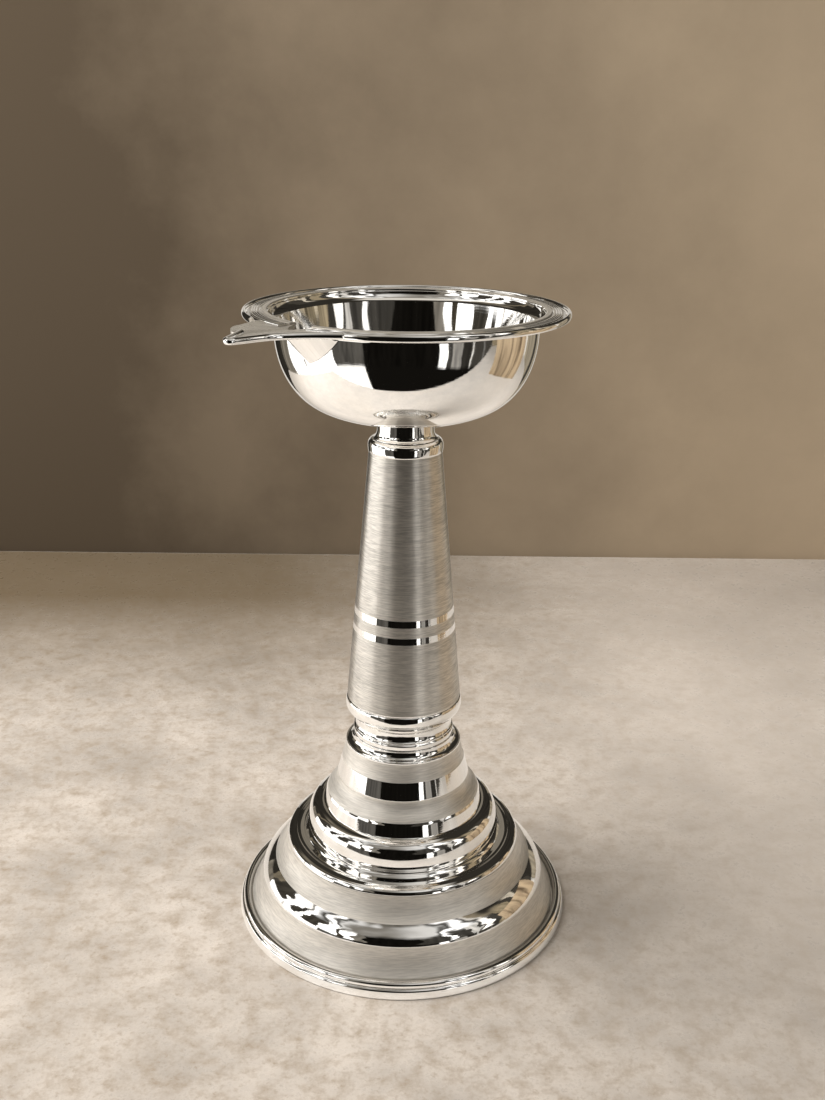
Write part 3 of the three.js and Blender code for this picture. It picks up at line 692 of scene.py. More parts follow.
class Tree:
    """A small helper that adds and joins shader nodes."""

    def __init__(self, tree):
        self.tree = tree

    def fill(self, node, inputs):
        """Joins or sets sockets of a node."""
        for key, value in inputs.items():
            if isinstance(value, bpy.types.NodeSocket):
                self.tree.links.new(value, node.inputs[key])
            else:
                node.inputs[key].default_value = value

    def add(self, kind, inputs=None, **choices):
        node = self.tree.nodes.new(kind)
        for key, value in choices.items():
            setattr(node, key, value)
        self.fill(node, inputs or {})
        return node

    def place(self):
        """The place on the piece, in its own metres."""
        return self.add("ShaderNodeTexCoord").outputs["Object"]

    def apart(self, vector):
        return self.add("ShaderNodeSeparateXYZ", {0: vector}).outputs

    def math(self, operation, first, second=0.5, third=0.5):
        inputs = {0: first, 1: second, 2: third}
        return self.add("ShaderNodeMath", inputs, operation=operation).outputs[0]

    def vector(self, operation, first, second):
        """Vector arithmetic; to scale, second is a number, and otherwise a vector."""
        key = "Scale" if operation == "SCALE" else 1
        inputs = {0: first, key: second}
        return self.add("ShaderNodeVectorMath", inputs, operation=operation).outputs[0]

    def cloud(self, vector, scale, detail, roughness=0.5, distortion=0.0):
        """Soft noise, as outputs 0, its value, and 1, its colour."""
        inputs = {"Vector": vector, "Scale": scale, "Detail": detail}
        inputs |= {"Roughness": roughness, "Distortion": distortion}
        return self.add("ShaderNodeTexNoise", inputs).outputs

    def spread(self, value, low, high, to_low=0.0, to_high=1.0):
        """Stretches a value from one range to another, held at its ends."""
        ends = {"From Min": low, "From Max": high, "To Min": to_low, "To Max": to_high}
        return self.add("ShaderNodeMapRange", {"Value": value, **ends}).outputs[0]

    def blend(self, amount, first, second):
        """A colour between two. Colours are sockets or three numbers."""
        inputs = {0: amount}
        for key, color in ((6, first), (7, second)):
            inputs[key] = color if isinstance(color, bpy.types.NodeSocket) else (*color, 1)
        return self.add("ShaderNodeMix", inputs, data_type="RGBA").outputs[2]

    def bump(self, height, strength, depth):
        inputs = {"Height": height, "Strength": strength, "Distance": depth}
        return self.add("ShaderNodeBump", inputs).outputs[0]

    def group(self, tree, inputs):
        return self.add("ShaderNodeGroup", inputs, node_tree=tree).outputs


def shade_of(color, *shares):
    """A colour with each of its channels multiplied, by one share or by a share each."""
    return [min(c * part, 1) for c, part in zip(color, shares * 3)]


def new_group(name, inputs, outputs):
    """A node group with named sockets, still empty, or the one already made. The sockets are
    numbers; inputs give their defaults."""
    if name in bpy.data.node_groups:
        return bpy.data.node_groups[name], None
    group = bpy.data.node_groups.new(name, "ShaderNodeTree")
    for label, default in inputs.items():
        socket = group.interface.new_socket(label, in_out="INPUT", socket_type="NodeSocketFloat")
        socket.default_value = default
    for label in outputs:
        group.interface.new_socket(label, in_out="OUTPUT", socket_type="NodeSocketFloat")
    return group, Tree(group)


def turning_lines():
    """Fine lines that run round the axis, slowly broken up along their way."""
    inputs = {"Spacing": 0.0004, "Break Length": 0.02}
    group, tree = new_group("Turning Lines", inputs, ("Line", "Band"))
    if tree is None:
        return group
    given = tree.add("NodeGroupInput").outputs
    x, y, z = tree.apart(tree.place())
    flat = tree.add("ShaderNodeCombineXYZ", {0: x, 1: y}).outputs[0]
    radius = tree.add("ShaderNodeVectorMath", {0: flat}, operation="LENGTH").outputs["Value"]
    across = tree.math("DIVIDE", radius, given["Spacing"])
    upwards = tree.math("DIVIDE", z, given["Spacing"])
    drift = tree.math("DIVIDE", x, given["Break Length"])
    wander = tree.math("DIVIDE", y, given["Break Length"])
    way = {0: tree.math("ADD", across, drift), 1: upwards, 2: wander}
    line_place = tree.add("ShaderNodeCombineXYZ", way).outputs[0]
    fine = tree.spread(tree.cloud(line_place, *FINE_LINES)[0], *LINE_RANGE)
    broad = tree.spread(tree.cloud(line_place, *BROAD_LINES)[0], *BAND_RANGE)
    tree.add("NodeGroupOutput", {"Line": fine, "Band": broad})
    return group


def handling_marks():
    """Smudges from wiping, hairline scratches and the slight waviness of spun sheet."""
    inputs = {"Smudge Size": 0.012, "Scratch Size": 0.006}
    group, tree = new_group("Handling Marks", inputs, ("Smudge", "Scratch", "Wave"))
    if tree is None:
        return group
    given = tree.add("NodeGroupInput").outputs
    place = tree.place()
    smudge_scale = tree.math("DIVIDE", 1.0, given["Smudge Size"])
    scratch_scale = tree.math("DIVIDE", 1.0, given["Scratch Size"])
    soft = tree.cloud(place, smudge_scale, 4.0, 0.55)
    wave = tree.cloud(place, smudge_scale, 1.0)
    bent = tree.vector("ADD", place, tree.vector("SCALE", soft[1], SCRATCH_WARP))
    cells = tree.add(
        "ShaderNodeTexVoronoi", {"Vector": bent, "Scale": scratch_scale}, feature="DISTANCE_TO_EDGE"
    )
    hair = tree.spread(cells.outputs["Distance"], 0.0, HAIRLINE_WIDTH, 1.0, 0.0)
    scratch = tree.math("MULTIPLY", hair, tree.spread(soft[0], *SCRATCHED_RANGE))
    smudge = tree.spread(soft[0], *SMUDGE_RANGE)
    tree.add("NodeGroupOutput", {"Smudge": smudge, "Scratch": scratch, "Wave": wave[0]})
    return group


def new_material(name):
    """A material with its Principled shader, or the one already made."""
    material = bpy.data.materials.get(name)
    if material:
        return material, None, None
    material = bpy.data.materials.new(name)
    material.use_nodes = True
    shader = material.node_tree.nodes["Principled BSDF"]
    return material, Tree(material.node_tree), shader


def worked_metal(tree, fineness=1.0, mark_share=1.0, break_length=None):
    """The outputs of the turning lines and of the handling marks on a metal."""
    sizes = settings()[0]
    line_inputs = {"Spacing": sizes.line_spacing * fineness}
    if break_length:
        line_inputs["Break Length"] = break_length
    lines = tree.group(turning_lines(), line_inputs)
    marks = tree.group(handling_marks(), {"Smudge Size": sizes.smudge_size * mark_share})
    return lines, marks


def polished_silver():
    """Mirror-polished silver with faint smudges and hairlines."""
    material, tree, shader = new_material("polished_silver_mirror")
    if tree is None:
        return material
    finishes = settings()[1]
    lines, marks = worked_metal(tree)
    film = tree.math("MULTIPLY", marks["Smudge"], POLISHED_FILM)
    smears = tree.math("MULTIPLY", marks["Smudge"], SMUDGE_ROUGHNESS)
    haze = tree.math("ADD", smears, tree.math("MULTIPLY", marks["Scratch"], SCRATCH_ROUGHNESS))
    height = tree.math("MULTIPLY_ADD", marks["Wave"], WAVE_WEIGHT, lines["Line"])
    look = {
        "Base Color": tree.blend(film, finishes.polished_color, finishes.warm_color),
        "Roughness": tree.math("ADD", haze, POLISHED_ROUGHNESS),
        "Normal": tree.bump(height, POLISHED_BUMP, FINE_RELIEF),
        "Metallic": 1.0,
    }
    tree.fill(shader, look)
    return material


def satin_silver(frost=0.0):
    """Satin silver with fine turning lines that draw highlights out across them. Frost makes it
    whiter and more even, as on the bells of the foot."""
    name = "satin_silver_frosted" if frost else "satin_silver_turned"
    material, tree, shader = new_material(name)
    if tree is None:
        return material
    finishes = settings()[1]
    clear = 1 - frost
    lines, marks = worked_metal(tree, break_length=SATIN_BREAK)
    bands = tree.math("MULTIPLY", lines["Band"], SATIN_BAND_TONE * clear)
    tone = tree.math("MULTIPLY_ADD", lines["Line"], SATIN_LINE_TONE * clear, bands)
    smooth = finishes.satin_roughness - SATIN_LINE_OFFSET
    rough = tree.math("MULTIPLY_ADD", lines["Line"], SATIN_LINE_ROUGHNESS, smooth)
    look = {
        "Base Color": tree.blend(tone, finishes.satin_color, finishes.line_color),
        "Roughness": tree.math("MULTIPLY_ADD", marks["Smudge"], SATIN_SMUDGE_ROUGHNESS, rough),
        "Normal": tree.bump(lines["Line"], LINE_BUMP, LINE_RELIEF),
        "Metallic": clear,
        "Anisotropic": finishes.satin_grain * clear,
        "Anisotropic Rotation": ROUND_THE_AXIS,
    }
    tree.fill(shader, look)
    return material


def brushed_silver():
    """Silver brushed with fine round lines, duller than the mirror: the rim's top and the
    spout plate."""
    material, tree, shader = new_material("brushed_silver_rim")
    if tree is None:
        return material
    finishes = settings()[1]
    lines, marks = worked_metal(tree, BRUSHED_FINENESS, BRUSHED_MARKS, BRUSHED_BREAK)
    film = tree.math("MULTIPLY", marks["Smudge"], BRUSHED_FILM)
    tone = tree.math("MULTIPLY_ADD", lines["Line"], BRUSHED_LINE_TONE, film)
    look = {
        "Base Color": tree.blend(tone, finishes.brushed_color, finishes.line_color),
        "Roughness": tree.math(
            "MULTIPLY_ADD", lines["Line"], BRUSHED_LINE_ROUGHNESS, BRUSHED_ROUGHNESS
        ),
        "Normal": tree.bump(lines["Line"], LINE_BUMP, LINE_RELIEF),
        "Metallic": BRUSHED_METALLIC,
    }
    tree.fill(shader, look)
    return material


def stud_steel():
    """Machined steel of the screw studs."""
    material, tree, shader = new_material("machined_stud_steel")
    if tree is None:
        return material
    finishes = settings()[1]
    lines, marks = worked_metal(tree, STEEL_FINENESS, STEEL_MARKS)
    film = tree.math("MULTIPLY", marks["Smudge"], STEEL_FILM)
    look = {
        "Base Color": tree.blend(film, finishes.steel_color, finishes.warm_color),
        "Roughness": tree.math(
            "MULTIPLY_ADD", lines["Line"], STEEL_LINE_ROUGHNESS, STEEL_ROUGHNESS
        ),
        "Normal": tree.bump(lines["Line"], STEEL_BUMP, FINE_RELIEF),
        "Metallic": 1.0,
    }
    tree.fill(shader, look)
    return material


def sheet_work():
    """The softness of the base's turned edges and the thickness of its sheet, in millimetres."""
    sizes = settings()[0]
    return sizes.edge_softness / MM, sizes.bell_sheet / MM


# The base


class LAMP_OT_foot(Operator):
    """Turn the folded foot rim and the wire that lies on it"""

    bl_idname = "lamp.foot"
    bl_label = "Foot Rim"

    def execute(self, context):
        inside = SKIRT_RADIUS - RIM_SHEET
        crown = RIM_TOP + RIM_ROLL
        rim = Outline(RIM_FOLD_RADIUS, 0)
        rim.line(FOOT_RADIUS, 0, soft=RIM_HEEL_EASE)
        rim.line(FOOT_RADIUS - RIM_FLARE, crown - RIM_SHOULDER, soft=RIM_SHOULDER_EASE)
        rim.line(RIM_TOP_RADIUS, crown)
        rim.line(inside, crown)
        rim.line(inside, crown - RIM_SHEET)
        rim.line(RIM_FOLD_RADIUS, crown - RIM_SHEET)
        finish_piece("turned_foot_rim", turned(rim, closed=True), "base", "foot_rim")

        bm = bmesh.new()
        bmesh.ops.create_circle(bm, segments=WIRE_SIDES, radius=WIRE_RADIUS * MM)
        swung(bm, math.pi / 2, "X")
        moved(bm, (WIRE_CENTRE * MM, 0, (crown + WIRE_SEAT) * MM))
        seat = (0, 0, crown * MM)
        bmesh.ops.bisect_plane(
            bm, geom=everything(bm), plane_co=seat, plane_no=AXIS, clear_inner=True
        )
        bm.edges.new([vert for vert in bm.verts if len(vert.link_edges) == 1])
        spin(bm, TURN_STEPS)
        finish_piece("turned_foot_wire", mesh_of(bm), "base", "foot_wire")
        return {"FINISHED"}


class LAMP_OT_lower_bell(Operator):
    """Turn the lower bell with its polished band between two satin zones"""

    bl_idname = "lamp.lower_bell"
    bl_label = "Lower Bell"

    def execute(self, context):
        soft, sheet = sheet_work()
        bell = Outline(SKIRT_RADIUS, RIM_TOP + RIM_ROLL)
        bell.line(SKIRT_RADIUS, SKIRT_TOP, soft=SKIRT_EASE)
        bell.curve(*SKIRT_BEND, LOW_SATIN_RADIUS, LOW_SATIN_TOP, soft=soft)
        bell.curve(*LOW_BAND_BEND, LOW_BAND_RADIUS, LOW_BAND_TOP, soft=soft)
        bell.curve(*LEDGE_SEAT_BEND, LEDGE_RADIUS, BELL_TOP)
        mesh = turned(bell, sheet=sheet, bands=[(LOW_SATIN_TOP - soft, LOW_BAND_TOP)])
        zones = [satin_silver(BELL_FROST), polished_silver()]
        finish_piece("turned_lower_bell", mesh, "base", "lower_bell", "satin_silver", zones)
        return {"FINISHED"}


class LAMP_OT_ledge(Operator):
    """Turn the ledge with its five fine steps"""

    bl_idname = "lamp.ledge"
    bl_label = "Stepped Ledge"

    def execute(self, context):
        soft, sheet = sheet_work()
        low = Vector((LEDGE_RADIUS - LEDGE_EDGE, BELL_TOP + LEDGE_SIDE))
        bend = Vector((LEDGE_RADIUS - 2.5 * LEDGE_EDGE, LEDGE_TOP - LEDGE_BEND_DROP))
        high = Vector((DOME_RADIUS + 2 * LEDGE_EDGE, LEDGE_TOP - LEDGE_CREST_DROP))
        crest = bent_points(low, bend, high, POINTS_A_STEP * LEDGE_STEPS)
        ledge = Outline(LEDGE_RADIUS - sheet, BELL_TOP)
        ledge.line(LEDGE_RADIUS - soft, BELL_TOP)
        ledge.line(LEDGE_RADIUS, BELL_TOP + LEDGE_EDGE / 2, soft=soft)
        ledge.line(low.x, low.y)
        for place, point in enumerate(crest[1:], 1):
            grooved = place % POINTS_A_STEP == GROOVE_POINT
            ledge.line(point.x, point.y - LEDGE_GROOVE * grooved)
        ledge.line(DOME_RADIUS + LEDGE_EDGE / 2, LEDGE_TOP - LEDGE_EDGE / 4)
        ledge.line(DOME_RADIUS, LEDGE_TOP)
        ledge.line(DOME_RADIUS - sheet, LEDGE_TOP)
        ledge.line(DOME_RADIUS - sheet, LEDGE_TOP - sheet)
        ledge.line(DOME_RADIUS, LEDGE_TOP - sheet)
        finish_piece("turned_ledge", turned(ledge, closed=True), "base", "stepped_ledge")
        return {"FINISHED"}


class LAMP_OT_dome(Operator):
    """Turn the polished dome that carries the upper bell"""

    bl_idname = "lamp.dome"
    bl_label = "Dome"

    def execute(self, context):
        sheet = sheet_work()[1]
        dome = Outline(DOME_RADIUS - DOME_DRAFT, LEDGE_TOP)
        dome.line(DOME_RADIUS, LEDGE_TOP + DOME_SIDE, soft=DOME_EASE)
        dome.curve(DOME_RADIUS, DOME_TOP, HIGH_BAND_RADIUS, DOME_TOP)
        dome.line(HIGH_BAND_RADIUS - DOME_LIP, DOME_TOP)
        finish_piece("turned_dome", turned(dome, sheet=sheet), "base", "dome")
        return {"FINISHED"}


class LAMP_OT_upper_bell(Operator):
    """Turn the upper bell with its two polished bands and two satin zones"""

    bl_idname = "lamp.upper_bell"
    bl_label = "Upper Bell"

    def execute(self, context):
        soft, sheet = sheet_work()
        bell = Outline(HIGH_BAND_RADIUS, DOME_TOP)
        bell.line(*HIGH_BAND_END, soft=HIGH_BAND_EASE)
        bell.curve(*HIGH_SATIN_BEND, *HIGH_SATIN_MIDDLE)
        bell.curve(*TOP_BAND_BEND, TOP_BAND_RADIUS, HIGH_SATIN_TOP, soft=soft)
        bell.line(TOP_SATIN_RADIUS, TOP_BAND_TOP, soft=soft)
        bell.curve(*COLLAR_SEAT_BEND, COLLAR_RADIUS, UPPER_BELL_TOP)
        bands = [(DOME_TOP - DOME_LIP, HIGH_BAND_TOP), (HIGH_SATIN_TOP - soft, TOP_BAND_TOP)]
        mesh = turned(bell, sheet=sheet, bands=bands)
        zones = [satin_silver(BELL_FROST), polished_silver()]
        finish_piece("turned_upper_bell", mesh, "base", "upper_bell", "satin_silver", zones)
        return {"FINISHED"}


class LAMP_OT_collar(Operator):
    """Turn the coved collar that the stem screws down on"""

    bl_idname = "lamp.collar"
    bl_label = "Collar"

    def execute(self, context):
        hole = BUSH_RADIUS + PLAY
        web = COLLAR_TOP - COLLAR_WEB
        skirt = COLLAR_RADIUS - COLLAR_WEB
        lip = UPPER_BELL_TOP + COLLAR_LIP
        collar = Outline(skirt, UPPER_BELL_TOP)
        collar.line(COLLAR_RADIUS, UPPER_BELL_TOP)
        collar.line(COLLAR_RADIUS, lip, soft=EASE)
        collar.curve(COLLAR_MOUTH, lip, COLLAR_MOUTH, COLLAR_TOP, soft=EASE)
        collar.line(hole, COLLAR_TOP, soft=EASE)
        collar.line(hole, web)
        collar.line(skirt - COLLAR_WEB / 2, web)
        mesh = turned(collar, closed=True, steps=SMALL_TURN_STEPS)
        finish_piece("turned_collar", mesh, "base", "collar")
        return {"FINISHED"}


# Screw fittings


def thread_ridge(crest, root, low, high):
    """A right-handed screw thread as a closed ridge that winds up between two heights."""
    half = THREAD_PITCH * THREAD_FOOT_SHARE
    land = half * THREAD_CREST_SHARE
    start = low + half
    turns = (high - low - 2 * half) / THREAD_PITCH
    steps = max(int(turns * THREAD_STEPS), THREAD_STEPS)
    section = [(root, -half), (crest, -land), (crest, land), (root, half)]
    bm = bmesh.new()
    bm.faces.new([bm.verts.new((r * MM, 0, (start + rise) * MM)) for r, rise in section])
    spin(bm, steps, turns * FULL_TURN, turns * THREAD_PITCH * MM / steps)
    return mesh_of(bm)


def stud_mesh(radius, node):
    """A stud with eased ends and a right-handed thread."""
    root = radius - THREAD_DEPTH
    low, high = foot_of(node), top_of(node)
    core = Outline(0, low)
    core.line(root - STUD_EASE / 2, low)
    core.line(root, low + STUD_EASE)
    core.line(root, high - STUD_EASE)
    core.line(root - STUD_EASE / 2, high)
    core.line(0, high)
    ridge = thread_ridge(radius, root - THREAD_SINK, low + STUD_EASE, high - STUD_EASE)
    return mesh_of(joined(turned(core, steps=STUD_TURN_STEPS), ridge))


class LAMP_OT_screws(Operator):
    """Cut the bush and the two studs that join base, stem and bowl"""

    bl_idname = "lamp.screws"
    bl_label = "Screw Fittings"

    def execute(self, context):
        steel = "stud_steel", [stud_steel()]
        flange_top = COLLAR_TOP - COLLAR_WEB
        flange_foot = flange_top - BUSH_FLANGE_SHEET
        bush = Outline(BUSH_BORE, BUSH_FOOT)
        bush.line(BUSH_RADIUS, BUSH_FOOT, soft=FULL_EASE)
        bush.line(BUSH_RADIUS, flange_foot)
        bush.line(BUSH_FLANGE, flange_foot, soft=EASE)
        bush.line(BUSH_FLANGE, flange_top)
        bush.line(BUSH_RADIUS, flange_top)
        bush.line(BUSH_RADIUS, BUSH_TOP, soft=FULL_EASE)
        bush.line(BUSH_BORE, BUSH_TOP, soft=FULL_EASE)
        mesh = turned(bush, closed=True, steps=BUSH_TURN_STEPS)
        finish_piece("turned_bush", mesh, "base", "base_bush", *steel)
        mesh = stud_mesh(STUD_RADIUS, "stem_stud")
        finish_piece("threaded_stem_stud", mesh, "stem_stud", "stem_stud", *steel)
        mesh = stud_mesh(BOWL_STUD_RADIUS, "bowl_stud")
        finish_piece("threaded_bowl_stud", mesh, "bowl_stud", "bowl_stud", *steel)
        return {"FINISHED"}


# The stem


class LAMP_OT_spool(Operator):
    """Turn the spool at the stem's foot, with its ring, reel and bead"""

    bl_idname = "lamp.spool"
    bl_label = "Stem Spool"

    def execute(self, context):
        groove = SPOOL_GROOVE
        belly = BEAD_TOP - BEAD_CROWN
        neck = TUBE_FOOT_RADIUS - TUBE_SEAT
        spool = Outline(BUSH_BORE, SPOOL_FOOT)
        spool.line(SPOOL_RADIUS, SPOOL_FOOT, soft=FULL_EASE)
        spool.line(SPOOL_RADIUS, REEL_FOOT, soft=EASE)
        spool.line(SPOOL_RADIUS - groove, REEL_FOOT + groove, soft=SLIGHT_EASE)
        spool.line(SPOOL_RADIUS - groove / 2, REEL_FOOT + 2 * groove, soft=EASE)
        spool.curve(REEL_WAIST, REEL_FOOT + REEL_BEND, REEL_WAIST, BEAD_FOOT - groove)
        spool.curve(REEL_WAIST, BEAD_FOOT, REEL_WAIST + groove, BEAD_FOOT + groove)
        spool.curve(BEAD_RADIUS, belly - BEAD_SWELL, BEAD_RADIUS, belly)
        spool.curve(BEAD_RADIUS, BEAD_TOP, neck, BEAD_TOP)
        spool.line(neck, TUBE_FOOT)
        spool.line(SPIGOT_RADIUS, TUBE_FOOT)
        spool.line(SPIGOT_RADIUS, SPOOL_TOP)
        spool.line(BUSH_BORE, SPOOL_TOP)
        mesh = turned(spool, closed=True, steps=SMALL_TURN_STEPS)
        finish_piece("turned_spool", mesh, "stem", "stem_spool")
        return {"FINISHED"}


class LAMP_OT_tube(Operator):
    """Turn the long tapered tube, satin with two polished rings"""

    bl_idname = "lamp.tube"
    bl_label = "Stem Tube"

    def execute(self, context):
        taper = (TUBE_FOOT_RADIUS - TUBE_HEAD_RADIUS) / (TUBE_TOP - TUBE_FOOT)
        tube = Outline(TUBE_FOOT_RADIUS, TUBE_FOOT)
        for ring in TUBE_RINGS:
            for height in ring:
                tube.line(TUBE_FOOT_RADIUS - taper * (height - TUBE_FOOT), height)
        tube.line(TUBE_HEAD_RADIUS, TUBE_TOP)
        mesh = turned(tube, sheet=TUBE_SHEET, steps=SMALL_TURN_STEPS, bands=TUBE_RINGS)
        zones = [satin_silver(), polished_silver()]
        finish_piece("turned_tube", mesh, "stem", "stem_tube", "satin_silver", zones)
        return {"FINISHED"}


class LAMP_OT_cap(Operator):
    """Turn the bead that closes the tube"""

    bl_idname = "lamp.cap"
    bl_label = "Stem Cap"

    def execute(self, context):
        swell = CAP_RADIUS - TUBE_HEAD_RADIUS
        spigot = TUBE_HEAD_RADIUS - TUBE_SHEET - PLAY
        belly = (TUBE_TOP + CAP_TOP) / 2 - CAP_BELLY_DROP
        shoulder = CAP_TOP - CAP_SHOULDER_DROP
        cap = Outline(CAP_BORE, CAP_FOOT)
        cap.line(spigot, CAP_FOOT, soft=FULL_EASE)
        cap.line(spigot, TUBE_TOP)
        cap.line(TUBE_HEAD_RADIUS, TUBE_TOP)
        cap.curve(CAP_RADIUS, TUBE_TOP + swell, CAP_RADIUS, belly)
        cap.curve(CAP_RADIUS, shoulder, CAP_RADIUS - CAP_SHOULDER, CAP_TOP)
        cap.line(CAP_BORE, CAP_TOP, soft=EASE)
        mesh = turned(cap, closed=True, steps=SMALL_TURN_STEPS)
        finish_piece("turned_cap", mesh, "stem", "stem_cap")
        return {"FINISHED"}


# The bowl


class LAMP_OT_neck(Operator):
    """Turn the waisted neck below the bowl"""

    bl_idname = "lamp.neck"
    bl_label = "Bowl Neck"

    def execute(self, context):
        edge = NECK_FOOT + NECK_EDGE
        waist = NECK_FOOT + NECK_WAIST_RISE
        foot = CAP_RADIUS - CAP_SHOULDER - NECK_INSET
        neck = Outline(CAP_BORE, NECK_FOOT)
        neck.line(foot, NECK_FOOT, soft=SLIGHT_EASE)
        neck.line(foot, edge, soft=SLIGHT_EASE)
        neck.curve(NECK_WAIST + NECK_INSET, edge + NECK_BEND, NECK_WAIST, waist)
        neck.curve(NECK_WAIST, NECK_ROOF, NECK_HEAD, BOWL_FOOT)
        neck.line(0, BOWL_FOOT)
        neck.line(0, NECK_ROOF)
        neck.line(CAP_BORE, NECK_ROOF)
        mesh = turned(neck, closed=True, steps=SMALL_TURN_STEPS)
        finish_piece("turned_neck", mesh, "bowl", "bowl_neck")
        return {"FINISHED"}


def bowl_outline(margin=0.0):
    """The outside line of the bowl from its axis to the top of its wall, a margin outside it."""
    under = BOWL_FOOT - margin
    floor = BOWL_FOOT + FLOOR_RISE
    wall = WALL_TOP - floor
    run = BOWL_RADIUS - FLOOR_EDGE
    line = Outline(0, under)
    line.line(NECK_HEAD, under)
    line.curve(FLOOR_BEND, under, FLOOR_EDGE + margin / 2, floor - margin)
    line.sweep(
        (FLOOR_EDGE + run * WALL_BEND_RUN + margin, floor + wall * WALL_BEND_LOW - margin),
        (BOWL_RADIUS + WALL_SWELL + margin, floor + wall * WALL_BEND_HIGH),
        (BOWL_RADIUS + margin, WALL_TOP),
    )
    return line


def plan(reach, side, height):
    """A point of the spout in the lamp's own frame, in metres."""
    along, across = math.cos(SPOUT_AZIMUTH), math.sin(SPOUT_AZIMUTH)
    return Vector((reach * along - side * across, reach * across + side * along, height)) * MM


def mirrored(points):
    """The points with their sides swapped, without the first, which lies on the keel."""
    return [Vector((-point.x, point.y)) for point in points[1:]]


def gutter_half(lift):
    """Half the gutter's section, side and height over the keel, from the keel outwards."""
    rise = Vector((0, lift))
    return bent_points(rise, rise + Vector(GUTTER_BEND), rise + Vector(GUTTER_BRIM))


def along_keel(section):
    """A closed section, as side and height over the keel, drawn out along the keel."""
    run = 2 * GUTTER_DEPTH / math.sin(GUTTER_SLOPE)
    slope_out, slope_up = math.cos(GUTTER_SLOPE), math.sin(GUTTER_SLOPE)
    points = []
    for point in section:
        reach = BOWL_RADIUS - slope_out * run / 4 - slope_up * point.y
        height = FLANGE_TOP - GUTTER_DEPTH - slope_up * run / 4 + slope_out * point.y
        points.append(plan(reach, point.x, height))
    return mesh_of(drawn_out(points, plan(slope_out * run, 0, slope_up * run)))


def channel(share_of_width=1.0):
    """The free room inside the gutter, open above. A share under one makes it narrower."""
    half = [Vector((p.x * share_of_width, p.y)) for p in gutter_half(GUTTER_SHEET)]
    wide, high = MOUTH_WIDTH * share_of_width, GUTTER_SHEET + 2 * GUTTER_DEPTH
    return along_keel(half + [Vector((wide, high)), Vector((-wide, high))] + mirrored(half)[::-1])


def slab(points, low, high):
    """A plan outline, in reach and side, raised between two heights."""
    return drawn_out([plan(*point, low) for point in points], (0, 0, (high - low) * MM))


def spout_sector(inner_radius):
    """The sector of the rim that the spout takes the place of, outside a radius."""
    low, high, outer = WALL_TOP - LIP_HEIGHT, FLANGE_TOP + LIP_HEIGHT, 2 * FLANGE_RADIUS
    sector = Outline(inner_radius, low).line(outer, low).line(outer, high)
    bm = wire_of(sector.line(inner_radius, high), closed=True)
    bmesh.ops.contextual_create(bm, geom=bm.edges[:])
    swung(bm, SPOUT_AZIMUTH - SPOUT_HALF_ANGLE)
    spin(bm, SPOUT_STEPS, 2 * SPOUT_HALF_ANGLE)
    return mesh_of(bm)


class LAMP_OT_bowl(Operator):
    """Spin the oil bowl and open its wall for the spout"""

    bl_idname = "lamp.bowl"
    bl_label = "Oil Bowl"

    def execute(self, context):
        floor = BOWL_FOOT + FLOOR_RISE
        well = floor - FLOOR_RISE / 2
        bowl = bowl_outline()
        bowl.line(BOWL_RADIUS - BOWL_SHEET, WALL_TOP)
        bowl.line(BOWL_RADIUS - INNER_TAPER, floor + FLOOR_RISE * 2)
        bowl.curve(
            FLOOR_EDGE + FLOOR_RISE, floor + FLOOR_RISE / 2, FLOOR_EDGE - FLOOR_RISE, floor
        )
        bowl.curve(FLOOR_EDGE / 2, well, 0, well)
        finish_piece("spun_oil_bowl", cut_away(turned(bowl), channel()), "bowl", "oil_bowl")
        return {"FINISHED"}


def groove_ring():
    """The grooved ring on the flange, open for the spout."""
    side, crown = FLANGE_TOP + RING_HEIGHT, FLANGE_TOP + RING_CROWN
    ring = Outline(RING_INNER, FLANGE_TOP)
    ring.line(RING_OUTER, FLANGE_TOP)
    ring.line(RING_OUTER, side, soft=RING_EDGE_EASE)
    for radius in RING_GROOVES:
        ring.line(radius + RING_GROOVE_HALF_WIDTH, side)
        ring.line(radius, FLANGE_TOP + RING_GROOVE_FOOT)
        ring.line(radius - RING_GROOVE_HALF_WIDTH, side)
    ring.line(RING_STEP + RING_STEP_EDGE, side, soft=SLIGHT_EASE)
    ring.line(RING_STEP + RING_DRAFT, FLANGE_TOP + RING_STEP_HEIGHT, soft=SLIGHT_EASE)
    ring.line(RING_STEP - RING_STEP_FLANK, crown, soft=EASE)
    ring.line(RING_INNER + RING_DRAFT, crown, soft=FULL_EASE)
    polished = [FLANGE_TOP + height for height in RING_POLISHED]
    near, far = BOWL_RADIUS, 2 * RING_OUTER
    half = RING_GAP_HALF_WIDTH
    wide = half + RING_GAP_WIDENING * (far - near)
    gap = [(near, -half), (far, -wide), (far, wide), (near, half)]
    opening = slab(gap, FLANGE_TOP - RING_GAP_BELOW, FLANGE_TOP + RING_GAP_ABOVE)
    return cut_away(turned(ring, closed=True, bands=[polished]), mesh_of(opening))


def lip_wire():
    """The wire round the flange's edge, which pauses at the spout."""
    bm = bmesh.new()
    bmesh.ops.create_circle(bm, cap_ends=True, segments=LIP_SIDES, radius=1)
    scaled(bm, (LIP_WIDTH / 2 * MM, LIP_HEIGHT / 2 * MM, 1))
    swung(bm, math.pi / 2, "X")
    moved(bm, ((LIP_RADIUS - LIP_WIDTH / 2) * MM, 0, (LIP_TOP - LIP_HEIGHT / 2) * MM))
    half = SPOUT_HALF_ANGLE + LIP_PAUSE / FLANGE_RADIUS
    swung(bm, SPOUT_AZIMUTH + half)
    spin(bm, TURN_STEPS, FULL_TURN - 2 * half)
    return mesh_of(bm)


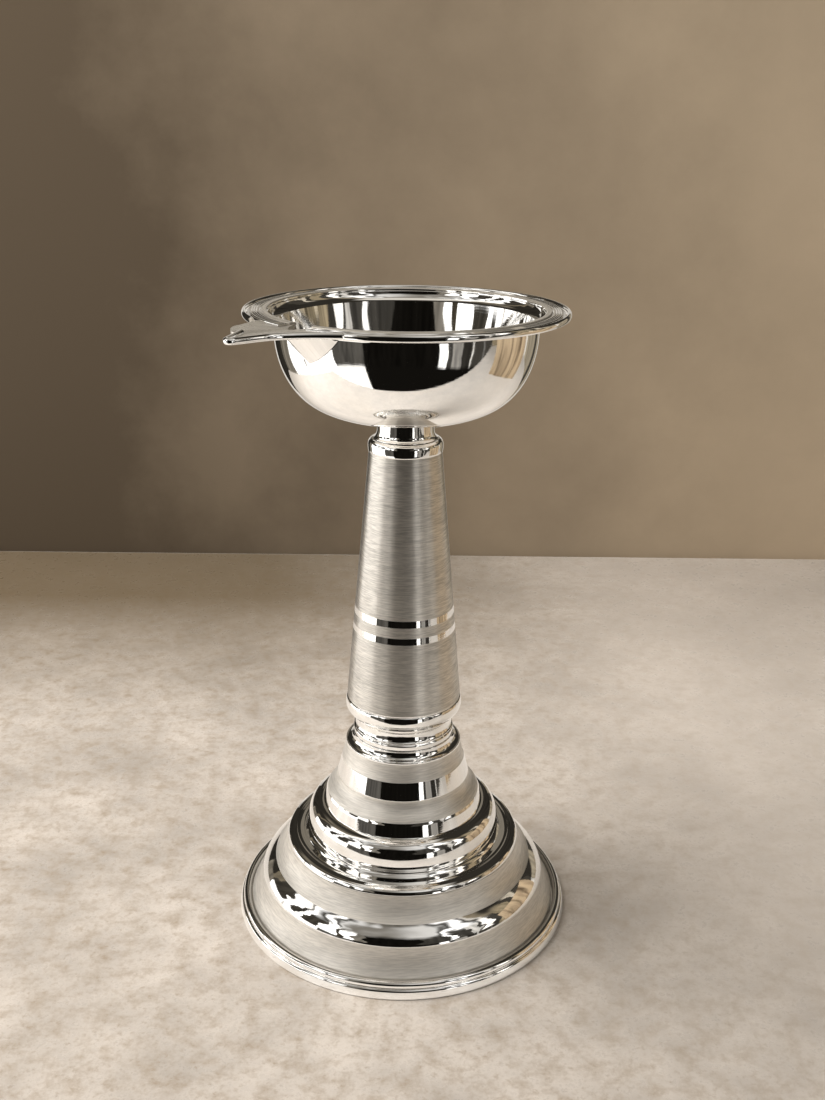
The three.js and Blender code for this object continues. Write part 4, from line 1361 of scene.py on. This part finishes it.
class LAMP_OT_rim(Operator):
    """Turn the flange, its grooved ring and the rolled lip, and open them for the spout"""

    bl_idname = "lamp.rim"
    bl_label = "Bowl Rim"

    def execute(self, context):
        under = FLANGE_TOP - FLANGE_SHEET
        back = COVE_RADIUS + BOWL_SHEET
        mouth = COVE_RADIUS - COVE_BEND, WALL_TOP + BOWL_SHEET
        flange = Outline(BOWL_RADIUS - BOWL_SHEET, WALL_TOP)
        flange.curve(*mouth, COVE_RADIUS, FLANGE_TOP, soft=COVE_EASE)
        flange.line(FLANGE_RADIUS, FLANGE_TOP)
        flange.line(FLANGE_RADIUS, under)
        flange.line(back, under, soft=FULL_EASE)
        flange.curve(back - COVE_BEND, WALL_TOP + COVE_BACK_RISE, BOWL_RADIUS, WALL_TOP)
        sector = spout_sector(COVE_RADIUS + COVE_LAND)
        mesh = cut_away(turned(flange, closed=True), sector, channel(MOUTH_SHARE))
        finish_piece("turned_rim_flange", mesh, "bowl", "rim_flange")
        zones = [brushed_silver(), polished_silver()]
        finish_piece(
            "turned_groove_ring", groove_ring(), "bowl", "groove_ring", materials=zones
        )
        finish_piece("rolled_lip_wire", lip_wire(), "bowl", "lip_wire")
        return {"FINISHED"}


# The spout


def long_lobe():
    """The outer edge of the long lobe, from its root on the rim round its tip to the notch."""
    edge = Outline(*LOBE_ROOT)
    edge.curve(*LONG_LOBE_BEND, *LONG_LOBE_SIDE[0])
    edge.line(*LONG_LOBE_SIDE[1])
    edge.curve(*LONG_LOBE_TIP[0], *LONG_LOBE_TIP[1])
    return edge.line(*NOTCH).points


def short_lobe():
    """The outer edge of the short lobe, from the notch round its tip to its root on the rim."""
    edge = Outline(*NOTCH)
    edge.curve(*SHORT_LOBE_TIP[0], *SHORT_LOBE_TIP[1])
    edge.curve(*SHORT_LOBE_SIDE[0], *SHORT_LOBE_SIDE[1])
    return edge.line(LOBE_ROOT[0], -LOBE_ROOT[1]).points


def rolled_edge():
    """A round bead along the edge of the long lobe."""
    line = bpy.data.curves.new("bead_line", "CURVE")
    line.dimensions = "3D"
    line.bevel_depth = EDGE_ROLL * MM
    line.bevel_resolution = EDGE_ROLL_STEPS
    line.use_fill_caps = True
    spline = line.splines.new("POLY")
    points = long_lobe()
    spline.points.add(len(points) - 1)
    for spot, point in zip(spline.points, points):
        spot.co = (*plan(*point, FLANGE_TOP - EDGE_ROLL_DROP), 1)
    work = placed("bead_work", line)
    mesh = shaped(work)
    bpy.data.objects.remove(work)
    return mesh


def solder_joint():
    """The small uneven run of solder where the long lobe's bead meets the lip wire."""
    bm = bmesh.new()
    bmesh.ops.create_icosphere(bm, subdivisions=JOINT_ROUNDNESS, radius=1)
    for vert in bm.verts:
        vert.co *= 1 + sum(size * noise.noise(vert.co * close) for size, close in JOINT_LUMPS)
    scaled(bm, (JOINT_LENGTH / 2 * MM, JOINT_WIDTH / 2 * MM, JOINT_WIDTH / 2 * MM))
    swung(bm, SPOUT_AZIMUTH + SPOUT_HALF_ANGLE + math.pi / 2)
    moved(bm, plan(*LOBE_ROOT, FLANGE_TOP - JOINT_DROP))
    return mesh_of(bm)


def spout_plate():
    """The fish-tailed plate, with a shallow valley to its notch, a bead and a solder joint."""
    inner = []
    for step in range(CURVE_STEPS + 1):
        angle = SPOUT_HALF_ANGLE * (2 * step / CURVE_STEPS - 1)
        inner.append((PLATE_INSIDE * math.cos(angle), PLATE_INSIDE * math.sin(angle)))
    edge = long_lobe() + short_lobe()[1:] + inner
    bm = slab(edge, FLANGE_TOP - PLATE_SHEET, FLANGE_TOP)
    apex = Vector((PLATE_INSIDE, 0))
    valley = Vector(NOTCH) - apex
    widening = VALLEY_HALF_WIDTH / valley.length
    valley.normalize()
    sideways = Vector((-valley.y, valley.x))
    for crease in VALLEY_CREASES:
        along = (valley + sideways * widening * crease).normalized()
        normal = plan(-along.y, along.x, 0).normalized()
        start = plan(*apex, 0)
        bmesh.ops.bisect_plane(bm, geom=everything(bm), plane_co=start, plane_no=normal)
    out, across = plan(1, 0, 0).normalized(), plan(0, 1, 0).normalized()
    for vert in bm.verts:
        if vert.co.z < (FLANGE_TOP - PLATE_SHEET / 2) * MM:
            continue
        spot = Vector((vert.co.dot(out), vert.co.dot(across))) / MM - apex
        off = abs(spot.dot(sideways))
        width = max(spot.dot(valley) * widening, VALLEY_LEAST_WIDTH)
        if off < width:
            vert.co.z -= VALLEY_DEPTH * MM * (1 - off / width)
    plate = cut_away(mesh_of(bm), channel(MOUTH_SHARE))
    plain = len(plate.polygons)
    bm = joined(plate, rolled_edge(), solder_joint())
    bm.faces.ensure_lookup_table()
    for face in bm.faces[plain:]:
        face.material_index = 1
    bmesh.ops.remove_doubles(bm, verts=bm.verts[:], dist=MERGE_DISTANCE)
    bmesh.ops.recalc_face_normals(bm, faces=bm.faces[:])
    return mesh_of(bm)


def spout_gutter():
    """The folded gutter below the plate, clear of the bowl and cut off below the plate."""
    outer, lining = gutter_half(0), gutter_half(GUTTER_SHEET)
    right, left = outer + lining[::-1], mirrored(lining) + mirrored(outer)[::-1]
    room = bowl_outline(SEAM_GAP)
    room.line(BOWL_RADIUS + 3 * SEAM_GAP, WALL_TOP)
    room.line(PLATE_INSIDE, WALL_TOP + 2 * SEAM_GAP)
    room.line(PLATE_INSIDE, FLANGE_TOP)
    room.line(0, FLANGE_TOP)
    above = slab(ABOVE, FLANGE_TOP - PLATE_SHEET, FLANGE_TOP + ABOVE_HEIGHT)
    return cut_away(along_keel(right + left), turned(room), mesh_of(above))


class LAMP_OT_spout(Operator):
    """Fold the fish-tailed spout plate and the gutter below it"""

    bl_idname = "lamp.spout"
    bl_label = "Wick Spout"

    def execute(self, context):
        finish_piece(
            "folded_spout_plate",
            spout_plate(),
            "bowl",
            "spout_plate",
            materials=[brushed_silver(), polished_silver()],
            sharp=SHARP_FOLD_ANGLE,
        )
        finish_piece("folded_spout_gutter", spout_gutter(), "bowl", "spout_gutter")
        return {"FINISHED"}


# The stage, in metres

TABLE_THICKNESS = 0.03
TABLE_EASE = 0.004
WALL_SIZE = (0.52, 0.36, 1)
WALL_MIDDLE = 0.15
CARD_SIZE = (0.21, 0.16, 1)
CARD_PLACE = (0.29, 0.04, 0.08)
CARD_TURN = math.radians(98)
KEY_PLACE = (-0.42, 0.02, 0.62)
KEY_SIZE = 0.56
KEY_COLOR = (1.0, 0.97, 0.93)
KEY_AIM = (0, 0, 0.06)
CAMERA_PLACE = (0.00214, -0.320, 0.22755)
CAMERA_TILT = math.radians(70.14)
CAMERA_ROLL = math.radians(0.588)
CAMERA_LENS = 40.16
CAMERA_SENSOR = 36

# Colours of stone, plaster and card, some of them as shares of the colour in the settings
PALE_STONE = 1.16
DEEP_STONE = 0.80
# Painted light: how much paler the stone is painted where light pools at its right
PAINTED_LIGHT_STONE = 1.5
STONE_ROUGHNESS = (0.22, 0.42)
STONE_BUMP = 0.16
STONE_PITS = 0.0002
BROWN_VEIN = (0.60, 0.52, 0.42)
VEIN_SHARE = 0.75
SPECK_SHARE = 0.45
# Painted shade: the colour and share of the shade painted on the table's back left
PAINTED_SHADE_COLOR = (0.13, 0.092, 0.05)
PAINTED_SHADE_SHARE = 0.93
# Painted reflection: the stone is painted paler only where the silver's reflections show it
MIRRORED_STONE = (1.0, 0.98, 0.96)
MIRRORED_SHARE = 0.40
PLASTER_MOTTLE = 0.22
PLASTER_BRIGHTNESS = 0.17
# Painted light and shade: the plaster is painted brighter to the right and to the top, darker at
# the lower left
PAINTED_LIGHT_TO_RIGHT = 2.15
PAINTED_LIGHT_TO_TOP = 0.25
PLASTER_ROUGHNESS = 0.85
# The plaster's dark end, reached both by its mottle and by the painted shade at the lower left
DEEP_PLASTER = (0.16, 0.15, 0.14)
CARD_FOLDS = (30.0, 30.0, 4.0)
CARD_ROUGHNESS = (0.9, 0.7)
# Painted shade in the hollows of the card's painted folds
CARD_FOLD_SHADE = (0.07, 0.045, 0.024)
CARD_FACE = (0.50, 0.39, 0.26)


# Where painted light brightens the table and painted shade darkens it: from and to a place, and
# from and to a share
PAINTED_LIGHT_SIDE = (0.02, 0.12)
PAINTED_LIGHT_FRONT = (-0.12, -0.02, 0.0, 0.5)
PAINTED_SHADE_SIDE = (0.09, -0.07, 0.26, 1.0)
PAINTED_SHADE_BACK = (0.11, 0.24)


def table_stone():
    """Pale honed stone with soft clouds, brown veins, fine specks and small pits. Painted shade
    darkens it at the back left, painted light brightens it at the right, and it is painted paler
    where the silver mirrors it."""
    material, tree, shader = new_material("pale_table_stone")
    if tree is None:
        return material
    base = settings()[2].table_color
    place = tree.place()
    x, y, _ = tree.apart(place)
    clouds = tree.cloud(place, *STONE_CLOUDS)[0]
    mottle = tree.cloud(place, *STONE_MOTTLE)[0]
    specks = tree.cloud(place, *STONE_SPECKS)[0]
    brown = shade_of(base, *BROWN_VEIN)
    pale, deep = shade_of(base, PALE_STONE), shade_of(base, DEEP_STONE)
    color = tree.blend(tree.spread(clouds, *LINE_RANGE), pale, deep)
    veins = tree.math("MULTIPLY", tree.spread(mottle, *VEIN_RANGE), VEIN_SHARE)
    color = tree.blend(veins, color, brown)
    dots = tree.math("MULTIPLY", tree.spread(specks, *SPECK_RANGE), SPECK_SHARE)
    color = tree.blend(dots, color, brown)
    # Painted light: a pool of light painted onto the stone at the right, behind the front edge
    lit = tree.math("MULTIPLY", tree.spread(x, *PAINTED_LIGHT_SIDE), tree.spread(y, *PAINTED_LIGHT_FRONT))
    color = tree.blend(lit, color, shade_of(base, PAINTED_LIGHT_STONE))
    # Painted shade: the back left of the stone is painted dark where shade falls near the wall
    corner = tree.math("MULTIPLY", tree.spread(y, *PAINTED_SHADE_BACK), tree.spread(x, *PAINTED_SHADE_SIDE))
    color = tree.blend(tree.math("MULTIPLY", corner, PAINTED_SHADE_SHARE), color, PAINTED_SHADE_COLOR)
    # Painted reflection: glossy rays see the stone painted paler, so its reflections in the silver
    # are brighter
    seen = tree.add("ShaderNodeLightPath").outputs["Is Glossy Ray"]
    color = tree.blend(tree.math("MULTIPLY", seen, MIRRORED_SHARE), color, MIRRORED_STONE)
    look = {
        "Base Color": color,
        "Roughness": tree.spread(mottle, *FULL_RANGE, *STONE_ROUGHNESS),
        "Normal": tree.bump(mottle, STONE_BUMP, STONE_PITS),
    }
    tree.fill(shader, look)
    return material


def wall_plaster():
    """Soft mottled plaster, with painted shade at the lower left and painted light that brightens
    it to the right and to the top. It is clear from behind and to the silver's reflections."""
    material, tree, shader = new_material("taupe_wall_plaster")
    if tree is None:
        return material
    base = settings()[2].wall_color
    place = tree.place()
    x, _, z = tree.apart(place)
    clouds = tree.spread(tree.cloud(place, *PLASTER_CLOUDS)[0], *FULL_RANGE)
    aged = tree.math("MULTIPLY_ADD", clouds, PLASTER_MOTTLE, PLASTER_BRIGHTNESS)
    # Painted light: brightness painted rising to the right and to the top, with painted shade left
    # at the lower left
    bright = tree.math("MULTIPLY_ADD", x, PAINTED_LIGHT_TO_RIGHT, aged)
    bright = tree.math("MULTIPLY_ADD", z, PAINTED_LIGHT_TO_TOP, bright)
    color = tree.blend(bright, shade_of(base, *DEEP_PLASTER), base)
    tree.fill(shader, {"Base Color": color, "Roughness": PLASTER_ROUGHNESS})
    clear = tree.add("ShaderNodeBsdfTransparent").outputs[0]
    behind = tree.add("ShaderNodeNewGeometry").outputs["Backfacing"]
    glossy = tree.add("ShaderNodeLightPath").outputs["Is Glossy Ray"]
    unseen = tree.math("MAXIMUM", behind, glossy)
    mix = tree.add("ShaderNodeMixShader", {0: unseen, 1: shader.outputs[0], 2: clear})
    tree.fill(material.node_tree.nodes["Material Output"], {"Surface": mix.outputs[0]})
    return material


def reflector_folds():
    """Beige with painted shade in the hollows of soft upright folds, painted on the flat reflector
    card that only the silver mirrors.
    """
    material, tree, shader = new_material("beige_reflector_folds")
    if tree is None:
        return material
    upright = tree.vector("MULTIPLY", tree.place(), CARD_FOLDS)
    folds = tree.cloud(upright, 1.0, 3.0, distortion=0.6)[0]
    # Painted shade: the fold hollows are painted dark on the flat card
    color = tree.blend(tree.spread(folds, *FOLD_RANGE), CARD_FOLD_SHADE, CARD_FACE)
    rough = tree.spread(folds, *FULL_RANGE, *CARD_ROUGHNESS)
    tree.fill(shader, {"Base Color": color, "Roughness": rough})
    return material


def stage_piece(name, bm, material):
    mesh = mesh_of(bm)
    mesh.name = name
    mesh.materials.append(material)
    thing = placed(name, mesh)
    thing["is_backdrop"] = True
    return thing


def upright_grid(size, columns=4):
    """A flat grid that stands on edge and faces the front."""
    bm = bmesh.new()
    bmesh.ops.create_grid(bm, x_segments=columns, y_segments=4, size=0.5)
    scaled(bm, size)
    swung(bm, math.pi / 2, "X")
    return bm


# The room's brightnesses, and its rings of upright panels as heading, brightness and warmth.
# Headings are in degrees from the camera's side, positive to the right; a panel ends where
# the next one starts.
WHITE, PALE, DIM, DARK, BLACK = 1.8, 0.75, 0.22, 0.06, 0.006
EYE_LEVEL = (
    (-180, PALE, 0.5), (-160, DARK / 2, 1), (-138, DIM, 1), (-123, 1.3 * WHITE, 0.1),
    (-104, PALE, 0.4), (-101, 1.3 * WHITE, 0.1), (-66, 1.6 * DARK, 0.6), (-56, DARK / 2, 0.6),
    (-55, 1.6 * DARK, 0.6), (-46, DARK / 2, 0.6), (-45, 2 * DARK, 0.6), (-37, BLACK, 1),
    (28, WHITE, 0.1), (34, DARK, 0.6), (38, 1.6 * DIM, 0.5), (48, DARK / 2, 0.8),
    (57, PALE, 0.4), (59, DARK, 0.8), (68, DIM, 0.4), (70, DARK, 0.8), (76, 1.3 * DIM, 1.6),
    (90, PALE, 1.3), (93, 1.1 * DIM, 1.6), (104, 0.8 * DIM, 1.6), (107, 2 * DIM, 1.4),
    (121, PALE, 0.6), (126, 1.7 * DIM, 1.3), (146, DARK, 1), (152, 1.5 * DIM, 1.2),
    (162, PALE, 0.5),
)
MIDDLE = (
    (-180, DIM, 1), (-168, DARK / 2, 1), (-128, DIM, 1.4), (-122, DARK, 1), (-106, WHITE, 0.1),
    (-94, DARK, 1), (-88, WHITE, 0.1), (-82, DARK, 1), (-70, WHITE, 0.1), (-52, DARK, 1.5),
    (-46, WHITE, 0.1), (-37, DIM, 0.8), (-29, BLACK, 1), (18, DARK, 0.7), (36, WHITE, 0.1),
    (42, DARK, 0.7), (56, PALE, 0.4), (62, DARK, 0.7), (66, WHITE, 0.3), (74, DARK, 0.8),
    (84, 1.6 * DIM, 1.6), (96, DARK, 1), (104, PALE, 1), (108, DARK, 1), (124, DARK / 2, 1),
    (168, DIM, 1),
)
UPPER = (
    (-180, DARK, 1), (-150, DARK / 2, 1), (-118, DIM, 1.2), (-104, WHITE, 0.3), (-92, DIM, 0.6),
    (-88, WHITE, 0.1), (-70, DARK, 0.8), (-60, WHITE, 0.1), (-52, DARK, 0.8), (-46, PALE, 0.2),
    (-38, DIM, 0.7), (32, PALE, 0.2), (40, DARK, 0.7), (50, WHITE, 0.1), (62, DARK, 0.8),
    (70, PALE, 0.5), (76, 1.2 * DIM, 1.4), (100, DARK / 2, 1),
)
LOWER = (
    (-180, 1.5 * DIM, 1), (-150, DIM, 1), (-123, 1.9 * PALE, 0.2), (-37, BLACK, 1),
    (80, 1.8 * DIM, 1.5),
)
GREEN_LOSS, BLUE_LOSS = 0.12, 0.30

# Where one ring gives way to the next, in degrees of rise
EYE_LEVEL_END = (8, 11)
MIDDLE_END = (36, 44)
UPPER_END = (66, 72)
LOWER_START = (-24, -27)
MIDDLE_SWAY = 0.5
UPPER_SWAY = 1.3
LEVEL_SWAY = 0.16
RIPPLE = 0.10
REAR = (-0.35, 0.05)
STREAK_SQUEEZE = 0.12
STREAK_STRENGTH = (0.5, 1.25)
HALF_GREY = (0.5, 0.5, 0.5)


def tinted(brightness, warmth):
    """A grey, drawn towards beige by its warmth."""
    green, blue = 1 - GREEN_LOSS * warmth, 1 - BLUE_LOSS * warmth
    return brightness, brightness * green, brightness * blue


def ring_of_panels(tree, turn, panels, edges="CONSTANT"):
    """A ring of the room's upright panels, hard-edged unless edges says otherwise."""
    node = tree.add("ShaderNodeValToRGB", {0: tree.spread(turn, -math.pi, math.pi)})
    node.color_ramp.interpolation = edges
    stops = node.color_ramp.elements
    stops.remove(stops[-1])
    for index, (heading, brightness, warmth) in enumerate(panels):
        place = heading / 360 + 0.5
        stop = stops.new(place) if index else stops[0]
        stop.position = place
        stop.color = (*tinted(brightness, warmth), 1)
    return node.outputs[0]


def studio_room(strength):
    """The room round the lamp: pale panels at both sides, dark in front, soft light above."""
    world = bpy.data.worlds.new("studio_room")
    bpy.context.scene.world = world
    world.use_nodes = True
    tree = Tree(world.node_tree)
    way = tree.add("ShaderNodeTexCoord").outputs["Generated"]
    ripples = tree.vector("SUBTRACT", tree.cloud(way, *ROOM_RIPPLES)[1], HALF_GREY)
    x, y, height = tree.apart(tree.vector("ADD", way, tree.vector("SCALE", ripples, RIPPLE)))
    turn = tree.math("ARCTAN2", x, tree.math("MULTIPLY", y, -1.0))
    sway = tree.cloud(way, *ROOM_SWAY)[0]

    def above(level, angles):
        """How far a direction's level lies on the way from one angle of rise to another."""
        return tree.spread(level, *(math.sin(math.radians(angle)) for angle in angles))

    def swayed(value, swing):
        """A value drawn off to both sides by the sway."""
        return tree.math("MULTIPLY_ADD", sway, swing, tree.math("ADD", value, -swing / 2))

    drift = tree.math("MULTIPLY_ADD", sway, UPPER_SWAY, -UPPER_SWAY / 2)
    eye_level = ring_of_panels(tree, turn, EYE_LEVEL)
    middle = ring_of_panels(tree, swayed(turn, MIDDLE_SWAY), MIDDLE)
    upper = ring_of_panels(tree, tree.math("ADD", turn, drift), UPPER, edges="EASE")
    lower = ring_of_panels(tree, turn, LOWER)
    drawn = tree.math("MULTIPLY", height, STREAK_SQUEEZE)
    fall = tree.add("ShaderNodeCombineXYZ", {0: turn, 2: drawn}).outputs[0]
    veil = tree.spread(tree.cloud(fall, *ROOM_STREAKS)[0], *FULL_RANGE, *STREAK_STRENGTH)
    walls = tree.vector("SCALE", tree.blend(above(height, EYE_LEVEL_END), eye_level, middle), veil)
    walls = tree.blend(above(swayed(height, LEVEL_SWAY), MIDDLE_END), walls, upper)
    rear = tree.spread(y, *REAR)
    overhead = tree.blend(rear, tinted(1.5 * DARK, 1), tinted(PALE, 0.5))
    room = tree.blend(above(height, UPPER_END), walls, overhead)
    room = tree.blend(above(height, LOWER_START), room, lower)
    tree.fill(world.node_tree.nodes["Background"], {"Color": room, "Strength": strength})


def key_light(power):
    """The soft area light that faces the lamp from the left, unseen in its reflections."""
    data = bpy.data.lights.new("key_light", "AREA")
    data.shape = "RECTANGLE"
    data.size = data.size_y = KEY_SIZE
    data.energy = power
    data.color = KEY_COLOR
    light = placed("key_light", data)
    light.location = KEY_PLACE
    facing = Vector(KEY_AIM) - Vector(KEY_PLACE)
    light.rotation_euler = facing.to_track_quat("-Z", "Y").to_euler()
    light.visible_glossy = False


def main_camera():
    data = bpy.data.cameras.new("camera")
    data.sensor_width = CAMERA_SENSOR
    data.lens = CAMERA_LENS
    camera = placed("camera", data)
    tilt, roll = Matrix.Rotation(CAMERA_TILT, 4, "X"), Matrix.Rotation(CAMERA_ROLL, 4, "Z")
    camera.rotation_euler = (tilt @ roll).to_euler()
    camera.location = CAMERA_PLACE
    return camera


class LAMP_OT_stage(Operator):
    """Set the table, the wall, the light and the camera"""

    bl_idname = "lamp.stage"
    bl_label = "Stage"

    def execute(self, context):
        stage = settings()[2]
        left, right = stage.table_left, stage.table_right
        back, front = stage.wall_distance, stage.table_front
        bm = bmesh.new()
        bmesh.ops.create_cube(bm, size=1)
        scaled(bm, (left + right, back + front, TABLE_THICKNESS))
        moved(bm, ((right - left) / 2, (back - front) / 2, -TABLE_THICKNESS / 2))
        for vert in bm.verts:
            if vert.co.y < 0:
                vert.co.y -= vert.co.x * stage.table_skew
        bmesh.ops.bevel(
            bm,
            geom=bm.edges[:],
            offset=TABLE_EASE,
            offset_type="OFFSET",
            segments=3,
            profile=0.5,
            affect="EDGES",
            material=-1,
        )
        stage_piece("table_top", bm, table_stone())

        bm = upright_grid(WALL_SIZE)
        moved(bm, (0, back, WALL_MIDDLE))
        stage_piece("wall", bm, wall_plaster())

        bm = upright_grid(CARD_SIZE, columns=24)
        swung(bm, CARD_TURN)
        moved(bm, CARD_PLACE)
        card = stage_piece("reflector_card", bm, reflector_folds())
        card.visible_camera = card.visible_diffuse = card.visible_shadow = False

        studio_room(stage.room_strength)
        key_light(stage.key_power)
        context.scene.camera = main_camera()
        context.scene.view_settings.view_transform = "Standard"
        return {"FINISHED"}


BUILDERS = (
    LAMP_OT_foot,
    LAMP_OT_lower_bell,
    LAMP_OT_ledge,
    LAMP_OT_dome,
    LAMP_OT_upper_bell,
    LAMP_OT_collar,
    LAMP_OT_screws,
    LAMP_OT_spool,
    LAMP_OT_tube,
    LAMP_OT_cap,
    LAMP_OT_neck,
    LAMP_OT_bowl,
    LAMP_OT_rim,
    LAMP_OT_spout,
    LAMP_OT_stage,
)


class LAMP_PT_sidebar(Panel):
    """Lists the lamp's builders in the sidebar"""

    bl_idname = "LAMP_PT_sidebar"
    bl_label = "Standing Oil Lamp"
    bl_space_type = "VIEW_3D"
    bl_region_type = "UI"
    bl_category = "Oil Lamp"

    def draw(self, context):
        for builder in BUILDERS:
            self.layout.operator(builder.bl_idname)
        for group in settings():
            box = self.layout.box()
            for key in group.__annotations__:
                box.prop(group, key)


CLASSES = (LampSizes, LampFinishes, StageSettings, *BUILDERS, LAMP_PT_sidebar)


def register():
    for each in CLASSES:
        bpy.utils.register_class(each)
    bpy.types.Scene.lamp_sizes = PointerProperty(type=LampSizes)
    bpy.types.Scene.lamp_finishes = PointerProperty(type=LampFinishes)
    bpy.types.Scene.lamp_stage = PointerProperty(type=StageSettings)


def unregister():
    del bpy.types.Scene.lamp_sizes
    del bpy.types.Scene.lamp_finishes
    del bpy.types.Scene.lamp_stage
    for each in reversed(CLASSES):
        bpy.utils.unregister_class(each)


def corners():
    return [list(corner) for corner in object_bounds()]


def main():
    """Builds the whole lamp and its stage."""
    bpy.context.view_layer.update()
    register()
    for builder in BUILDERS:
        family, name = builder.bl_idname.split(".")
        getattr(getattr(bpy.ops, family), name)()


if __name__ == "__main__":
    main()
